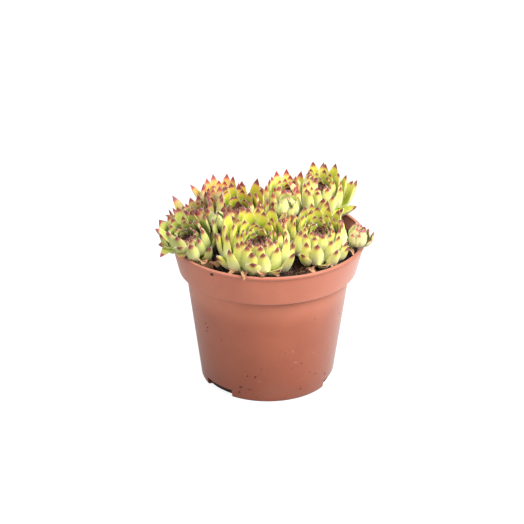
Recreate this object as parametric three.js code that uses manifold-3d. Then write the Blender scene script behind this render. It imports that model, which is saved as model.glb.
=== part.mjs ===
// Hens and chicks (Sempervivum) in a round plastic nursery pot.
//
// Eight hens, the large rosettes, and four chicks, the small ones on runners, crowd the top of the pot.
// Millimetres, +Z up. The origin is the middle of the pot's underside, and -Y is the front.

import * as THREE from "three";
import { mergeVertices } from "three/addons/utils/BufferGeometryUtils.js";
import Module from "manifold-3d";

const wasm = await Module();
wasm.setup();

const DEG = Math.PI / 180;
const GAP = 0.3; // clearance between neighbouring pieces

// ---------------------------------------------------------------- driving sizes

const POT = {
  height: 82,
  rimRadius: 52.5, // outside of the lip
  lipHeight: 1.6,
  lipWidth: 1.8,
  lipRound: 0.4,
  collarTopRadius: 51.7,
  collarFootRadius: 47.9, // outside of the collar at its lower edge
  collarFoot: 64.3, // height of the collar's lower edge
  bodyTopRadius: 44.3,
  footRadius: 35.9,
  wall: 0.9,
  floor: 1.2,
  sides: 36,
};
// The drain notches in the foot. first and width are in degrees.
const DRAIN = { count: 3, first: 222.5, width: 31, height: 4.6, reach: 5.5 };
const SOIL = { edge: 75.4, middle: 78.6, lump: 0.6, rings: 3, sides: 20 };
const STEM = { top: 2.4, root: 1.7, rootHeight: 69, inward: 0.86, sides: 8 };
const RUNNER = { radius: 1.1, sides: 6, steps: 5 };
const GOLDEN = 137.508; // degrees from one leaf to the next

// The hens. at is the crown, where the leaves start. The rosette leans by tilt degrees towards lean. size is
// against a full-grown one, rise is how far down the stem the lowest leaves start, open is how far in degrees
// the leaves spread, stand how far their feet stand up, and turn is the compass turn of the first leaf. old
// holds the direction, the length and the lean of the tip of each old leaf that lies under the rosette.
const HENS = [
  {
    name: "hen_front", leaves: 50, turn: 20, size: 1, rise: 2, open: 0, stand: 0,
    at: [-5.2, -26.6, 82.4], lean: [0, -1], tilt: 19, old: [],
  },
  {
    name: "hen_front_left", leaves: 38, turn: 75, size: 0.78, rise: 1, open: 0, stand: 0,
    at: [-41.4, -18.2, 82.4], lean: [-0.5, -0.87], tilt: 26,
    old: [[-140, 22, 98], [-100, 19, 98], [-55, 18, 98]],
  },
  {
    name: "hen_front_right", leaves: 43, turn: 140, size: 0.88, rise: 5, open: 0, stand: 0,
    at: [26.4, -19, 85.6], lean: [0.1, -1], tilt: 19,
    old: [[-20, 18, 110], [-60, 17, 110]],
  },
  {
    name: "hen_middle_left", leaves: 30, turn: 260, size: 0.84, rise: 2, open: 4, stand: 0,
    at: [-15.9, 15.1, 83.8], lean: [0, -1], tilt: 16, old: [],
  },
  {
    name: "hen_left", leaves: 25, turn: 35, size: 0.66, rise: 2, open: 12, stand: 0,
    at: [-37, 12.5, 83.4], lean: [-1, 0.1], tilt: 15, old: [],
  },
  {
    name: "hen_back_left", leaves: 24, turn: 110, size: 0.7, rise: 2, open: 6, stand: 0,
    at: [-26, 34, 83.8], lean: [-0.3, 1], tilt: 6, old: [],
  },
  {
    name: "hen_back", leaves: 27, turn: 320, size: 0.75, rise: 5, open: 4, stand: 0,
    at: [11, 31, 87.6], lean: [0, -1], tilt: 8, old: [],
  },
  {
    name: "hen_back_right", leaves: 36, turn: 200, size: 0.86, rise: 6, open: 6, stand: 0,
    at: [27.4, 30, 90], lean: [0, -1], tilt: 14, old: [],
  },
];

// The chicks, described in the same way, with the points of the runner that carries each up out of the soil.
const CHICKS = [
  {
    name: "chick_left", leaves: 12, turn: 10, size: 0.36, rise: 0, open: -38, stand: 40,
    at: [-26.8, -3, 88.6], lean: [0, -1], tilt: 20,
    runner: [[-22, -1.5, 70], [-22, -1.5, 78], [-24, -2, 85]],
  },
  {
    name: "chick_middle", leaves: 14, turn: 50, size: 0.47, rise: 0, open: -38, stand: 45,
    at: [10, 10.6, 89.2], lean: [0, -1], tilt: 18,
    runner: [[8, 9, 70], [8, 9, 78], [9, 10, 84]],
  },
  {
    name: "chick_front", leaves: 10, turn: 80, size: 0.44, rise: 1, open: -28, stand: 0,
    at: [11.4, -2.6, 87.5], lean: [0, -1], tilt: 6,
    runner: [[11, 0, 70], [11, 0, 76], [11.2, -2, 83]],
  },
  {
    name: "chick_right", leaves: 15, turn: 90, size: 0.42, rise: 0, open: -30, stand: 32,
    at: [46.8, -16.8, 84.8], lean: [0.8, -0.5], tilt: 18,
    runner: [[40, -14, 70], [40, -14, 78], [43, -15.6, 83]],
  },
];
const PLUMP = 1.3; // how much wider a chick's leaves are for their length than a hen's

// A leaf's sizes from the lowest leaf (t = 0) to the heart (t = 1) of a full-grown hen, in mm and degrees.
const LEAF = {
  length: [27, 36.5, 27.5, 19, 12, 7],
  halfWidth: [4.3, 4.3, 3.9, 3.2, 2.4, 1.4],
  thickness: [2.3, 2.4, 2.3, 2.0, 1.6, 1.2],
  leastThickness: 0.9,
  baseLean: [104, 96, 86, 78, 60, 20], // from the rosette's axis, where the leaf starts
  tipLean: [44, 4, -6, -13, -18, -8], // and at its tip
  bendStart: [0.3, 0.24, 0.19, 0.18, 0.22, 0.3], // the share of the length where it starts to turn upwards
  bendEnd: [0.66, 0.59, 0.57, 0.6, 0.7, 0.75], // and where the turn ends
  foot: [0, 0.6, 1.3, 2.2, 3.4, 4.8], // height of the start above the crown
  footRadius: [2.2, 2.0, 1.7, 1.3, 0.9, 0.4],
  cup: 0.3, // how far the margins rise, as a share of the half width
  footShare: 0.62, // width of the foot as a share of the largest
  widest: 0.66, // share of the length where the leaf is widest
};
const OLD = { halfWidth: 3.4, thickness: 0.8, from: 100, start: 0.4, end: 0.9, foot: -1.5, footRadius: 2 };
const CROWD = 1.25; // how much closer in age the outer leaves are than those of the bud
const LOOSE = { azimuth: 10, length: 0.1, lean: 6 }; // random spread of the leaves, in degrees and a share
// The steps by which a leaf stands up, in degrees and as a share of its length, and where between its rings
// of points it is tried.
const STAND = { tries: 24, base: 3, tip: 4, shorter: 0.985, between: [0.25, 0.5, 0.75] };
const HEART = 8; // height of the middle of a full-grown rosette above its crown
const REACH = 21; // and its radius

// ---------------------------------------------------------------- numbers

const mix = (a, b, t) => a + (b - a) * t;
const clamp = (x, low, high) => Math.min(high, Math.max(low, x));
const vector = (p) => new THREE.Vector3(...p);

// The value at t of a curve through evenly spaced values, joined by straight lines.
function along(values, t) {
  const x = clamp(t, 0, 1) * (values.length - 1);
  const k = Math.min(values.length - 2, Math.floor(x));
  return mix(values[k], values[k + 1], x - k);
}

// A repeatable stream of numbers from 0 to 1.
function numbers(seed) {
  let state = seed >>> 0;
  return () => {
    state = (Math.imul(state, 1664525) + 1013904223) >>> 0;
    return state / 4294967296;
  };
}

// ---------------------------------------------------------------- solids

// A closed three.js geometry as a manifold-3d solid that faces out.
function solid(source) {
  const g = source.clone();
  g.deleteAttribute("normal");
  g.deleteAttribute("uv");
  const merged = mergeVertices(g, 1e-4);
  const triVerts = new Uint32Array(merged.index.array);
  const vertProperties = new Float32Array(merged.attributes.position.array);
  const made = new wasm.Manifold(new wasm.Mesh({ numProp: 3, vertProperties, triVerts }));
  if (made.volume() > 0) return made;
  return new wasm.Manifold(new wasm.Mesh({ numProp: 3, vertProperties, triVerts: triVerts.reverse() }));
}

// A manifold-3d solid as a three.js geometry.
function geometry(made) {
  const mesh = made.getMesh();
  const positions = new Float32Array(mesh.numVert * 3);
  for (let i = 0; i < mesh.numVert; i++)
    positions.set(mesh.vertProperties.subarray(i * mesh.numProp, i * mesh.numProp + 3), i * 3);
  const g = new THREE.BufferGeometry();
  g.setAttribute("position", new THREE.BufferAttribute(positions, 3));
  g.setIndex(new THREE.BufferAttribute(new Uint32Array(mesh.triVerts), 1));
  g.computeVertexNormals();
  return g;
}

// The largest of a solid's separate bodies, so that slivers cut loose are dropped.
function largest(made) {
  return made.decompose().reduce((a, b) => (b.volume() > a.volume() ? b : a));
}

// A solid through rings of points that all have the same count, closed at both ends. An end ring may be one
// point.
function loft(rings) {
  const positions = [];
  const faces = [];
  const starts = [];
  for (const ring of rings) {
    starts.push(positions.length / 3);
    for (const p of ring) positions.push(p.x, p.y, p.z);
  }
  for (let k = 0; k + 1 < rings.length; k++) {
    const [a, b] = [starts[k], starts[k + 1]];
    const n = Math.max(rings[k].length, rings[k + 1].length);
    for (let i = 0; i < n; i++) {
      const j = (i + 1) % n;
      if (rings[k].length === 1) faces.push(a, b + j, b + i);
      else if (rings[k + 1].length === 1) faces.push(a + i, a + j, b);
      else faces.push(a + i, a + j, b + j, a + i, b + j, b + i);
    }
  }
  const [first, last] = [rings[0].length, rings[rings.length - 1].length];
  const end = starts[starts.length - 1];
  for (let i = 1; i + 1 < first; i++) faces.push(0, i + 1, i);
  for (let i = 1; i + 1 < last; i++) faces.push(end, end + i, end + i + 1);
  const g = new THREE.BufferGeometry();
  g.setAttribute("position", new THREE.BufferAttribute(new Float32Array(positions), 3));
  g.setIndex(faces);
  return solid(g);
}

// A ring of points round a centre, in the plane of two directions.
function circle(centre, across, over, radius, sides) {
  return Array.from({ length: sides }, (_, i) => {
    const a = (i / sides) * 2 * Math.PI;
    return centre
      .clone()
      .addScaledVector(across, radius * Math.cos(a))
      .addScaledVector(over, radius * Math.sin(a));
  });
}

// ---------------------------------------------------------------- pot

// Radius of the pot's outside below the collar.
const bodyRadius = (z) => mix(POT.footRadius, POT.bodyTopRadius, z / POT.collarFoot);

// The pot: its wall and floor turned in one piece, with the drain notches cut out of the foot.
function potSolid() {
  const lipFoot = POT.height - POT.lipHeight;
  const ledge = POT.collarFoot + POT.wall;
  const profile = [
    [0, 0],
    [POT.footRadius, 0],
    [POT.bodyTopRadius, POT.collarFoot],
    [POT.collarFootRadius, POT.collarFoot],
    [POT.collarTopRadius, lipFoot],
    [POT.rimRadius, lipFoot],
    [POT.rimRadius, POT.height - POT.lipRound],
    [POT.rimRadius - POT.lipRound, POT.height],
    [POT.rimRadius - POT.lipWidth, POT.height],
    [POT.collarFootRadius - POT.wall, ledge],
    [POT.bodyTopRadius - POT.wall, ledge],
    [bodyRadius(POT.floor) - POT.wall, POT.floor],
    [0, POT.floor],
  ];
  const lathe = new THREE.LatheGeometry(
    profile.map(([r, z]) => new THREE.Vector2(r, z)),
    POT.sides,
  );
  lathe.rotateX(90 * DEG);
  return solid(lathe).subtract(drainsSolid());
}

// The drain notches: wedges through the foot of the wall and the edge of the floor.
function drainsSolid() {
  const inside = POT.footRadius - DRAIN.reach;
  const outside = POT.footRadius + DRAIN.reach;
  const wedges = Array.from({ length: DRAIN.count }, (_, k) => {
    const middle = DRAIN.first + (360 / DRAIN.count) * k;
    const [low, high] = [(middle - DRAIN.width / 2) * DEG, (middle + DRAIN.width / 2) * DEG];
    const corners = [
      [inside, low],
      [outside, low],
      [outside, high],
      [inside, high],
    ];
    const points = corners.map(([r, a]) => new THREE.Vector2(r * Math.cos(a), r * Math.sin(a)));
    const depth = DRAIN.height + 1;
    const wedge = new THREE.ExtrudeGeometry(new THREE.Shape(points), { depth, bevelEnabled: false });
    wedge.translate(0, 0, -1);
    return solid(wedge);
  });
  return wedges.reduce((a, b) => a.add(b));
}

// ---------------------------------------------------------------- soil

// Height of the soil's smooth surface: a low mound that falls to the pot's wall.
function soilHeight(x, y) {
  const share = Math.hypot(x, y) / POT.collarFootRadius;
  return mix(SOIL.middle, SOIL.edge, Math.min(1, share * share));
}

// Inner radius of the pot at a height.
function innerRadius(z) {
  if (z < POT.collarFoot + POT.wall) return bodyRadius(z) - POT.wall;
  const ledge = POT.collarFoot + POT.wall;
  const share = (z - ledge) / (POT.height - ledge);
  return mix(POT.collarFootRadius - POT.wall, POT.rimRadius - POT.lipWidth, share);
}

// The soil fills the pot, clear of its wall, with lumps on top and a plain hole for each stem and runner.
function soilSolid() {
  const random = numbers(7);
  const [x, y] = [new THREE.Vector3(1, 0, 0), new THREE.Vector3(0, 1, 0)];
  const flats = Math.cos(Math.PI / POT.sides); // the flats of the wall's facets lie inside its corners
  const ring = (z, level = z) =>
    circle(new THREE.Vector3(0, 0, level), x, y, innerRadius(z) * flats - GAP, SOIL.sides);
  const ledge = POT.collarFoot + POT.wall + GAP;
  const rings = [ring(POT.floor + GAP), ring(POT.collarFoot, ledge), ring(ledge), ring(SOIL.edge - GAP)];
  const rim = innerRadius(SOIL.edge) - GAP - 1;
  for (let k = SOIL.rings; k >= 1; k--) {
    const level = circle(new THREE.Vector3(), x, y, (rim * k) / SOIL.rings, SOIL.sides);
    for (const p of level) p.z = soilHeight(p.x, p.y) + SOIL.lump * (2 * random() - 1);
    rings.push(level);
  }
  rings.push([new THREE.Vector3(0, 0, SOIL.middle)]);
  let made = loft(rings);
  for (const hen of hens) made = made.subtract(stemSolid(hen, GAP));
  for (const chick of chicks) made = made.subtract(runnerSolid(chick, GAP));
  return made;
}

// ---------------------------------------------------------------- rosettes

// A rosette with its axes: up is its own axis, and across and over span its face.
function rosette(made, plump) {
  const lean = new THREE.Vector3(...made.lean, 0).normalize().multiplyScalar(Math.sin(made.tilt * DEG));
  const up = lean.setZ(Math.cos(made.tilt * DEG));
  const across = new THREE.Vector3(0, 1, 0).cross(up).normalize();
  const over = up.clone().cross(across);
  const crown = vector(made.at);
  const heart = crown.clone().addScaledVector(up, HEART * made.size);
  return { ...made, plump, up, across, over, crown, heart, reach: REACH * made.size };
}

const hens = HENS.map((hen) => rosette(hen, 1));
const chicks = CHICKS.map((chick) => rosette(chick, PLUMP));

// The planes that part a rosette from each near neighbour: what lies below zero by a plane is its own.
function fences(own) {
  return [...hens, ...chicks]
    .filter((other) => other !== own)
    .map((other) => {
      const normal = other.heart.clone().sub(own.heart);
      const apart = normal.length();
      const room = (apart * own.reach) / (own.reach + other.reach) - GAP;
      normal.normalize();
      return new THREE.Plane(normal, -normal.dot(own.heart) - room);
    })
    .filter((plane) => plane.distanceToPoint(own.heart) > -2 * own.reach);
}

// The lowest height that a leaf may have: over the soil, over the pot's lip, and falling away outside it.
function leafFloor(x, y) {
  const radius = Math.hypot(x, y);
  const overLip = POT.height + 2 * GAP;
  if (radius > POT.rimRadius + 1) return overLip - (radius - POT.rimRadius - 1);
  const overSoil = soilHeight(x, y) + SOIL.lump + GAP;
  return mix(overSoil, overLip, clamp((radius - 46) / 3.2, 0, 1));
}

// How far a point lies under the floor.
const under = (p) => leafFloor(p.x, p.y) - p.z;

// How far a point lies beyond the planes.
const beyond = (p, walls) => Math.max(...walls.map((plane) => plane.distanceToPoint(p)));

// Moves a point back inside the planes and above the floor.
function pressBack(p, walls) {
  for (const plane of walls) p.addScaledVector(plane.normal, -Math.max(0, plane.distanceToPoint(p)));
  p.z = Math.max(p.z, leafFloor(p.x, p.y));
}

// Half width of a leaf at a share s of its length, as a share of its largest: a narrower foot, a broad upper
// part and a pointed tip.
function outline(s) {
  if (s < LEAF.widest) return mix(LEAF.footShare, 1, Math.sin((Math.PI / 2) * (s / LEAF.widest)));
  return Math.cos((Math.PI / 2) * ((s - LEAF.widest) / (1 - LEAF.widest)));
}

// The sizes of a rosette's leaf i, counted from the lowest.
function leafOf(own, i, random) {
  const t = (i / (own.leaves - 1)) ** CROWD;
  return {
    t,
    azimuth: (own.turn + i * GOLDEN + (random() - 0.5) * LOOSE.azimuth) * DEG,
    length: along(LEAF.length, t) * own.size * (1 + (random() - 0.5) * LOOSE.length),
    from: along(LEAF.baseLean, t) - own.stand + (random() - 0.5) * LOOSE.lean,
    to: along(LEAF.tipLean, t) + own.open + (random() - 0.5) * LOOSE.lean,
    start: along(LEAF.bendStart, t),
    end: along(LEAF.bendEnd, t),
    halfWidth: along(LEAF.halfWidth, t) * own.size * own.plump,
    thickness: Math.max(LEAF.leastThickness, along(LEAF.thickness, t) * own.size),
    foot: along(LEAF.foot, t) * own.size - own.rise * (1 - t) ** 2,
    footRadius: along(LEAF.footRadius, t) * own.size,
  };
}

// An old leaf under a rosette: thin and nearly straight, so that it lies over the pot's lip.
function oldLeaf([azimuth, length, to]) {
  return { ...OLD, t: 0, azimuth: azimuth * DEG, length, to };
}

// A point of a leaf: s runs along it, v across it from -1 to 1, and side is 1 on its inner face and -1 on its
// outer. Its middle line starts straight at the lean of its foot, turns in an even arc and ends straight at
// the lean of its tip.
function leafPoint(own, leaf, s, v, side) {
  const [from, to] = [leaf.from * DEG, leaf.to * DEG];
  const lean = mix(from, to, clamp((s - leaf.start) / (leaf.end - leaf.start), 0, 1));
  const before = leaf.length * Math.min(s, leaf.start);
  const arc = (leaf.length * (leaf.end - leaf.start)) / (to - from);
  const after = leaf.length * Math.max(0, s - leaf.end);
  const bendOut = arc * (Math.cos(from) - Math.cos(lean));
  const bendUp = arc * (Math.sin(lean) - Math.sin(from));
  const radius = leaf.footRadius + before * Math.sin(from) + bendOut + after * Math.sin(to);
  const height = leaf.foot + before * Math.cos(from) + bendUp + after * Math.cos(to);
  const width = leaf.halfWidth * outline(s);
  const full = Math.sqrt(outline(s)) * (1 - v * v);
  const rise = LEAF.cup * width * v * v + leaf.thickness * full * (side > 0 ? 0.25 : -0.75);
  const outward = own.across
    .clone()
    .multiplyScalar(Math.cos(leaf.azimuth))
    .addScaledVector(own.over, Math.sin(leaf.azimuth));
  const sideways = own.up.clone().cross(outward);
  return own.crown
    .clone()
    .addScaledVector(outward, radius - rise * Math.cos(lean))
    .addScaledVector(own.up, height + rise * Math.sin(lean))
    .addScaledVector(sideways, width * v);
}

// A leaf as a solid, ring by ring up to its pointed tip: each ring has the two margins and the keel of the
// outer face. Step by step, a leaf that would go under the floor bends up at its foot, and one that would
// reach beyond the planes stands up and shortens. What still reaches out is pressed back.
function leafSolid(own, leaf, walls) {
  const stations = leaf.t < 0.22 ? [0.06, 0.38, 0.66] : [0.06, 0.6];
  const corners = [[-1, 1], [0, -1], [1, 1]];
  let rings;
  for (let k = 0; k < STAND.tries; k++) {
    rings = stations.map((s) => corners.map(([v, side]) => leafPoint(own, leaf, s, v, side)));
    rings.push([leafPoint(own, leaf, 1, 0, 1)]);
    const between = rings.slice(0, -1).flatMap((ring, n) => {
      const next = rings[n + 1];
      const toNext = (p, i) => STAND.between.map((share) => p.clone().lerp(next[i % next.length], share));
      return ring.flatMap(toNext);
    });
    const points = [...rings.flat(), ...between];
    const blocked = points.some((p) => beyond(p, walls) > 0);
    if (!blocked && points.every((p) => under(p) <= 0)) return loft(rings);
    leaf.from -= STAND.base;
    if (blocked) {
      leaf.to -= STAND.tip;
      leaf.length *= STAND.shorter;
    }
  }
  for (const p of rings.flat()) pressBack(p, walls);
  return loft(rings);
}

// The core that the leaves grow from, turned round the rosette's axis and drawn out down by the rise.
function coreSolid(own) {
  const profile = [
    [-2.2, 0],
    [-1.4, 5.2],
    [2.2, 6.2],
    [5.6, 5.0],
    [9.0, 0],
  ];
  const rings = profile.map(([height, radius]) => {
    const centre = own.crown.clone().addScaledVector(own.up, height * own.size - (height < 0 ? own.rise : 0));
    return radius ? circle(centre, own.across, own.over, radius * own.size, STEM.sides) : [centre];
  });
  return loft(rings);
}

// The stem of a hen, from its root in the soil up into the core. The root is nearer to the middle of the pot.
function stemSolid(own, extra = 0) {
  const [x, y] = own.at;
  const root = new THREE.Vector3(x * STEM.inward, y * STEM.inward, STEM.rootHeight - extra);
  const top = own.crown.clone().addScaledVector(own.up, 2 * own.size);
  return loft([
    circle(root, own.across, own.over, STEM.root + extra, STEM.sides),
    circle(top, own.across, own.over, STEM.top * own.size + extra, STEM.sides),
  ]);
}

// The runner of a chick: a round stalk that rises out of the soil and bends over to the chick's crown.
function runnerSolid(chick, extra = 0) {
  const points = [...chick.runner, chick.at].map(vector);
  points[0].z -= extra;
  const extrudePath = new THREE.CatmullRomCurve3(points);
  const [x, y] = [new THREE.Vector3(1, 0, 0), new THREE.Vector3(0, 1, 0)];
  const section = circle(new THREE.Vector3(), x, y, RUNNER.radius + extra, RUNNER.sides);
  const shape = new THREE.Shape(section.map((p) => new THREE.Vector2(p.x, p.y)));
  return solid(new THREE.ExtrudeGeometry(shape, { steps: RUNNER.steps, extrudePath, bevelEnabled: false }));
}

// A rosette: the leaves in a spiral round their core, as one solid.
function rosetteSolid(own) {
  const random = numbers(own.turn);
  const walls = fences(own);
  let made = coreSolid(own);
  for (let i = 0; i < own.leaves; i++) made = made.add(leafSolid(own, leafOf(own, i, random), walls));
  for (const old of own.old ?? []) made = made.add(leafSolid(own, oldLeaf(old), walls));
  return made;
}

// ---------------------------------------------------------------- the group

const group = new THREE.Group();

function add(name, made, color, roughness) {
  const material = new THREE.MeshStandardMaterial({ color, roughness, metalness: 0 });
  const mesh = new THREE.Mesh(geometry(made), material);
  mesh.name = name;
  group.add(mesh);
}

add("pot", potSolid(), 0xc97e67, 0.35);
add("soil", soilSolid(), 0x2c211c, 0.95);

for (const hen of hens) {
  let made = rosetteSolid(hen).add(stemSolid(hen));
  for (const chick of chicks) made = made.subtract(runnerSolid(chick, GAP));
  add(hen.name, largest(made), 0xc9d254, 0.45);
}
for (const chick of chicks) {
  const made = rosetteSolid(chick).add(runnerSolid(chick));
  add(chick.name, largest(made), 0xdfe4b0, 0.5);
}

export default group;
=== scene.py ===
# Hens and chicks (Sempervivum): eight large rosettes and four small ones in a round plastic nursery pot.
#
# Metres, +Z up. The origin is the middle of the pot's underside, and -Y is the front.

import math

import bmesh
import bpy
import numpy as np
from mathutils import Matrix, Vector


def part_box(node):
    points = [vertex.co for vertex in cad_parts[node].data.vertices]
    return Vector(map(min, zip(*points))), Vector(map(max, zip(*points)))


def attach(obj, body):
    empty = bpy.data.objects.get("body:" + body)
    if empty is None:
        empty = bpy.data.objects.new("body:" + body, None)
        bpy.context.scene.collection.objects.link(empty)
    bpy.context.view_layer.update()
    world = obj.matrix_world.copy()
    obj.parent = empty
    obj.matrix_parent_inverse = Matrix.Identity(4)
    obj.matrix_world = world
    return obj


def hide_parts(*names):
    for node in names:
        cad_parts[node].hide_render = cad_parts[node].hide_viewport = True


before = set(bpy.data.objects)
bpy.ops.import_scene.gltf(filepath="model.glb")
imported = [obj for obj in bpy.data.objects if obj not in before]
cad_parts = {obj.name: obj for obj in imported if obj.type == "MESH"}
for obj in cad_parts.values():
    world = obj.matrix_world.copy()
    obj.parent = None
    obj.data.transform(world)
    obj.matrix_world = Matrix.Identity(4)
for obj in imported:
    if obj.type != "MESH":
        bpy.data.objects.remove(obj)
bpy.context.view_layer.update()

# ---------------------------------------------------------------- the pot
# The pot is one moulding of terracotta-coloured plastic, barely a millimetre thick: a tapered body, a wider
# collar and a thin bead round the top. Three low drain notches are left open in its foot, through wall and
# floor.

pot_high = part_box("pot")[1]
POT_HEIGHT = pot_high.z
RIM_RADIUS = pot_high.x
BEAD_HEIGHT = 0.0016
BEAD_WIDTH = 0.0018
COLLAR_TOP_RADIUS = 0.0517
COLLAR_FOOT_RADIUS = 0.0479
COLLAR_FOOT = 0.0643
BODY_TOP_RADIUS = 0.0443
FOOT_RADIUS = 0.0359
WALL = 0.0009
POT_FLOOR = 0.0012
NOTCH_MIDDLES = (222.5, 342.5, 102.5)  # compass directions, in degrees
NOTCH_WIDTH = 31.0
NOTCH_HEIGHT = 0.0046
NOTCH_REACH = 0.0055
FOOT_ROUNDING = 0.0012
EDGE_ROUNDING = 0.0006
BEAD_DRAFT = 0.0002
BEAD_SHOULDER = 0.0007
LIP_SHOULDER = 0.0003
FOOT_POINTS = 12
INNER_POINTS = 400
POT_SIDES = 240


def rounded(corners, radius, steps=5):
    """An open line of (r, z) corners whose inner corners are rounded: each one becomes the quadratic curve
    that starts and ends at a distance radius from it, at most 45% of the way to the next corner."""
    corners = np.array(corners)
    line = [corners[:1]]
    t = np.linspace(0, 1, steps)[:, None]
    for before, corner, after in zip(corners[:-2], corners[1:-1], corners[2:]):
        ends = []
        for other in (before, after):
            step = other - corner
            length = np.linalg.norm(step)
            ends.append(corner + step * min(radius / length, 0.45))
        line.append((1 - t) ** 2 * ends[0] + 2 * t * (1 - t) * corner + t**2 * ends[1])
    line.append(corners[-1:])
    return np.concatenate(line)


def mesh_object(name, points, faces, attributes=None, sharp=40.0, slots=()):
    """A mesh object from points (n, 3) and a list of face arrays, with point attributes. Doubled points, as
    at a pole, are merged, the faces are turned outwards, and edges sharper than the given angle stay
    sharp."""
    mesh = bpy.data.meshes.new(name)
    mesh.from_pydata(points.tolist(), [], [face for block in faces for face in block.tolist()])
    for key, values in (attributes or {}).items():
        layer = mesh.attributes.new(key, "FLOAT", "POINT")
        layer.data.foreach_set("value", np.ascontiguousarray(values, np.float32).ravel())
    shape = bmesh.new()
    shape.from_mesh(mesh)
    bmesh.ops.remove_doubles(shape, verts=shape.verts, dist=1e-7)
    bmesh.ops.dissolve_degenerate(shape, edges=shape.edges, dist=1e-8)
    bmesh.ops.recalc_face_normals(shape, faces=shape.faces)
    shape.to_mesh(mesh)
    shape.free()
    mesh.shade_smooth()
    mesh.set_sharp_from_angle(angle=math.radians(sharp))
    for material in slots:
        mesh.materials.append(material)
    made = bpy.data.objects.new(name, mesh)
    bpy.context.scene.collection.objects.link(made)
    return made


def cells(index, nxt):
    """The four-sided faces between a grid of point numbers and the same grid moved on by one place."""
    return np.stack([index[:, :-1], nxt[:, :-1], nxt[:, 1:], index[:, 1:]], -1)


def shell(outer, inner, keep):
    """A closed wall between two grids of points (columns round, rows along), where keep says which cells
    are there. Each kept cell gives an outer and an inner face, and each border of the kept cells gives the
    wall's edge."""
    columns, rows = outer.shape[:2]
    index = np.arange(columns * rows).reshape(columns, rows)
    far = index + columns * rows
    nxt = np.roll(index, -1, axis=0)
    far_nxt = np.roll(far, -1, axis=0)
    faces = [
        cells(index, nxt)[keep],
        np.stack([far[:, :-1], far[:, 1:], far_nxt[:, 1:], far_nxt[:, :-1]], -1)[keep],
    ]
    seam = keep != np.roll(keep, 1, axis=0)
    faces.append(np.stack([index[:, :-1], index[:, 1:], far[:, 1:], far[:, :-1]], -1)[seam])
    padded = np.pad(keep, ((0, 0), (1, 1)))
    padded[:, 0] = keep[:, 0]
    border = padded[:, 1:] != padded[:, :-1]
    faces.append(np.stack([index, nxt, far_nxt, far], -1)[border])
    return np.concatenate([outer.reshape(-1, 3), inner.reshape(-1, 3)]), np.concatenate(faces)


def turned(line, sides):
    """The grid of points (sides, rows, 3) that a line of (r, z) points sweeps as it turns round the Z
    axis."""
    angle = np.linspace(0, 2 * np.pi, sides, endpoint=False)[:, None]
    r, z = line[:, 0], line[:, 1]
    return np.stack([r * np.cos(angle), r * np.sin(angle), np.broadcast_to(z, (sides, len(z)))], -1)


def resampled(line, count):
    """The line (n, 2) again with count points, evenly spaced along its length."""
    along = np.concatenate([[0], np.cumsum(np.linalg.norm(np.diff(line, axis=0), axis=1))])
    at = np.linspace(0, along[-1], count)
    return np.stack([np.interp(at, along, line[:, 0]), np.interp(at, along, line[:, 1])], -1)


# The floor and the wall up to the notch's top are rows of their own, so that the notch can be left out of
# them.
notch_inner = FOOT_RADIUS - NOTCH_REACH
notch_radius = np.interp(NOTCH_HEIGHT, [0, COLLAR_FOOT], [FOOT_RADIUS, BODY_TOP_RADIUS])
bead_foot = POT_HEIGHT - BEAD_HEIGHT
inner_rim = RIM_RADIUS - BEAD_WIDTH
floor_rows = np.array([[0, 0], [notch_inner * 0.5, 0], [notch_inner, 0]])
foot_path = rounded([(notch_inner, 0), (FOOT_RADIUS, 0), (notch_radius, NOTCH_HEIGHT)], FOOT_ROUNDING)
foot_rows = resampled(foot_path, FOOT_POINTS)
upper_rows = rounded(
    [
        (notch_radius, NOTCH_HEIGHT),
        (BODY_TOP_RADIUS, COLLAR_FOOT),
        (COLLAR_FOOT_RADIUS, COLLAR_FOOT),
        (COLLAR_TOP_RADIUS, bead_foot),
        (RIM_RADIUS, bead_foot + BEAD_DRAFT),
        (RIM_RADIUS, POT_HEIGHT),
        (RIM_RADIUS - BEAD_SHOULDER, POT_HEIGHT),
    ],
    EDGE_ROUNDING,
)
outer_line = np.concatenate([floor_rows, foot_rows[1:], upper_rows[1:]])
ledge = COLLAR_FOOT + WALL
inner_path = rounded(
    [
        (FOOT_RADIUS - WALL, POT_FLOOR),
        (BODY_TOP_RADIUS - WALL, ledge),
        (COLLAR_FOOT_RADIUS - WALL, ledge),
        (inner_rim, POT_HEIGHT),
        (inner_rim + BEAD_DRAFT, POT_HEIGHT),
    ],
    EDGE_ROUNDING,
)
inner_line = outer_line.copy()
inner_line[:, 1] = np.maximum(inner_line[:, 1], POT_FLOOR)
on_floor = outer_line[:, 1] < POT_FLOOR * 0.5
inner_line[on_floor, 0] = np.minimum(inner_line[on_floor, 0], FOOT_RADIUS - WALL)
inner_line[on_floor, 1] = POT_FLOOR
rising = ~on_floor
rows_up = resampled(inner_path, INNER_POINTS)
matching = np.searchsorted(rows_up[:, 1], outer_line[rising, 1])
inner_line[rising] = rows_up[np.minimum(matching, INNER_POINTS - 1)]
inner_line[-1] = (inner_rim + LIP_SHOULDER, POT_HEIGHT)

angles = (np.arange(POT_SIDES) + 0.5) * 360 / POT_SIDES
apart = np.abs((angles[:, None] - np.array(NOTCH_MIDDLES) + 180) % 360 - 180).min(1)
in_notch_rows = (outer_line[:-1, 0] >= notch_inner - 1e-6) & (outer_line[1:, 1] <= NOTCH_HEIGHT + 1e-6)
keep = ~((apart < NOTCH_WIDTH / 2)[:, None] & in_notch_rows)
pot_points, pot_faces = shell(turned(outer_line, POT_SIDES), turned(inner_line, POT_SIDES), keep)


def plug(tree, socket, value):
    """Links an input socket to another node's output, or sets it to a plain value."""
    if isinstance(value, bpy.types.NodeSocket):
        tree.links.new(value, socket)
    else:
        socket.default_value = value


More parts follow.
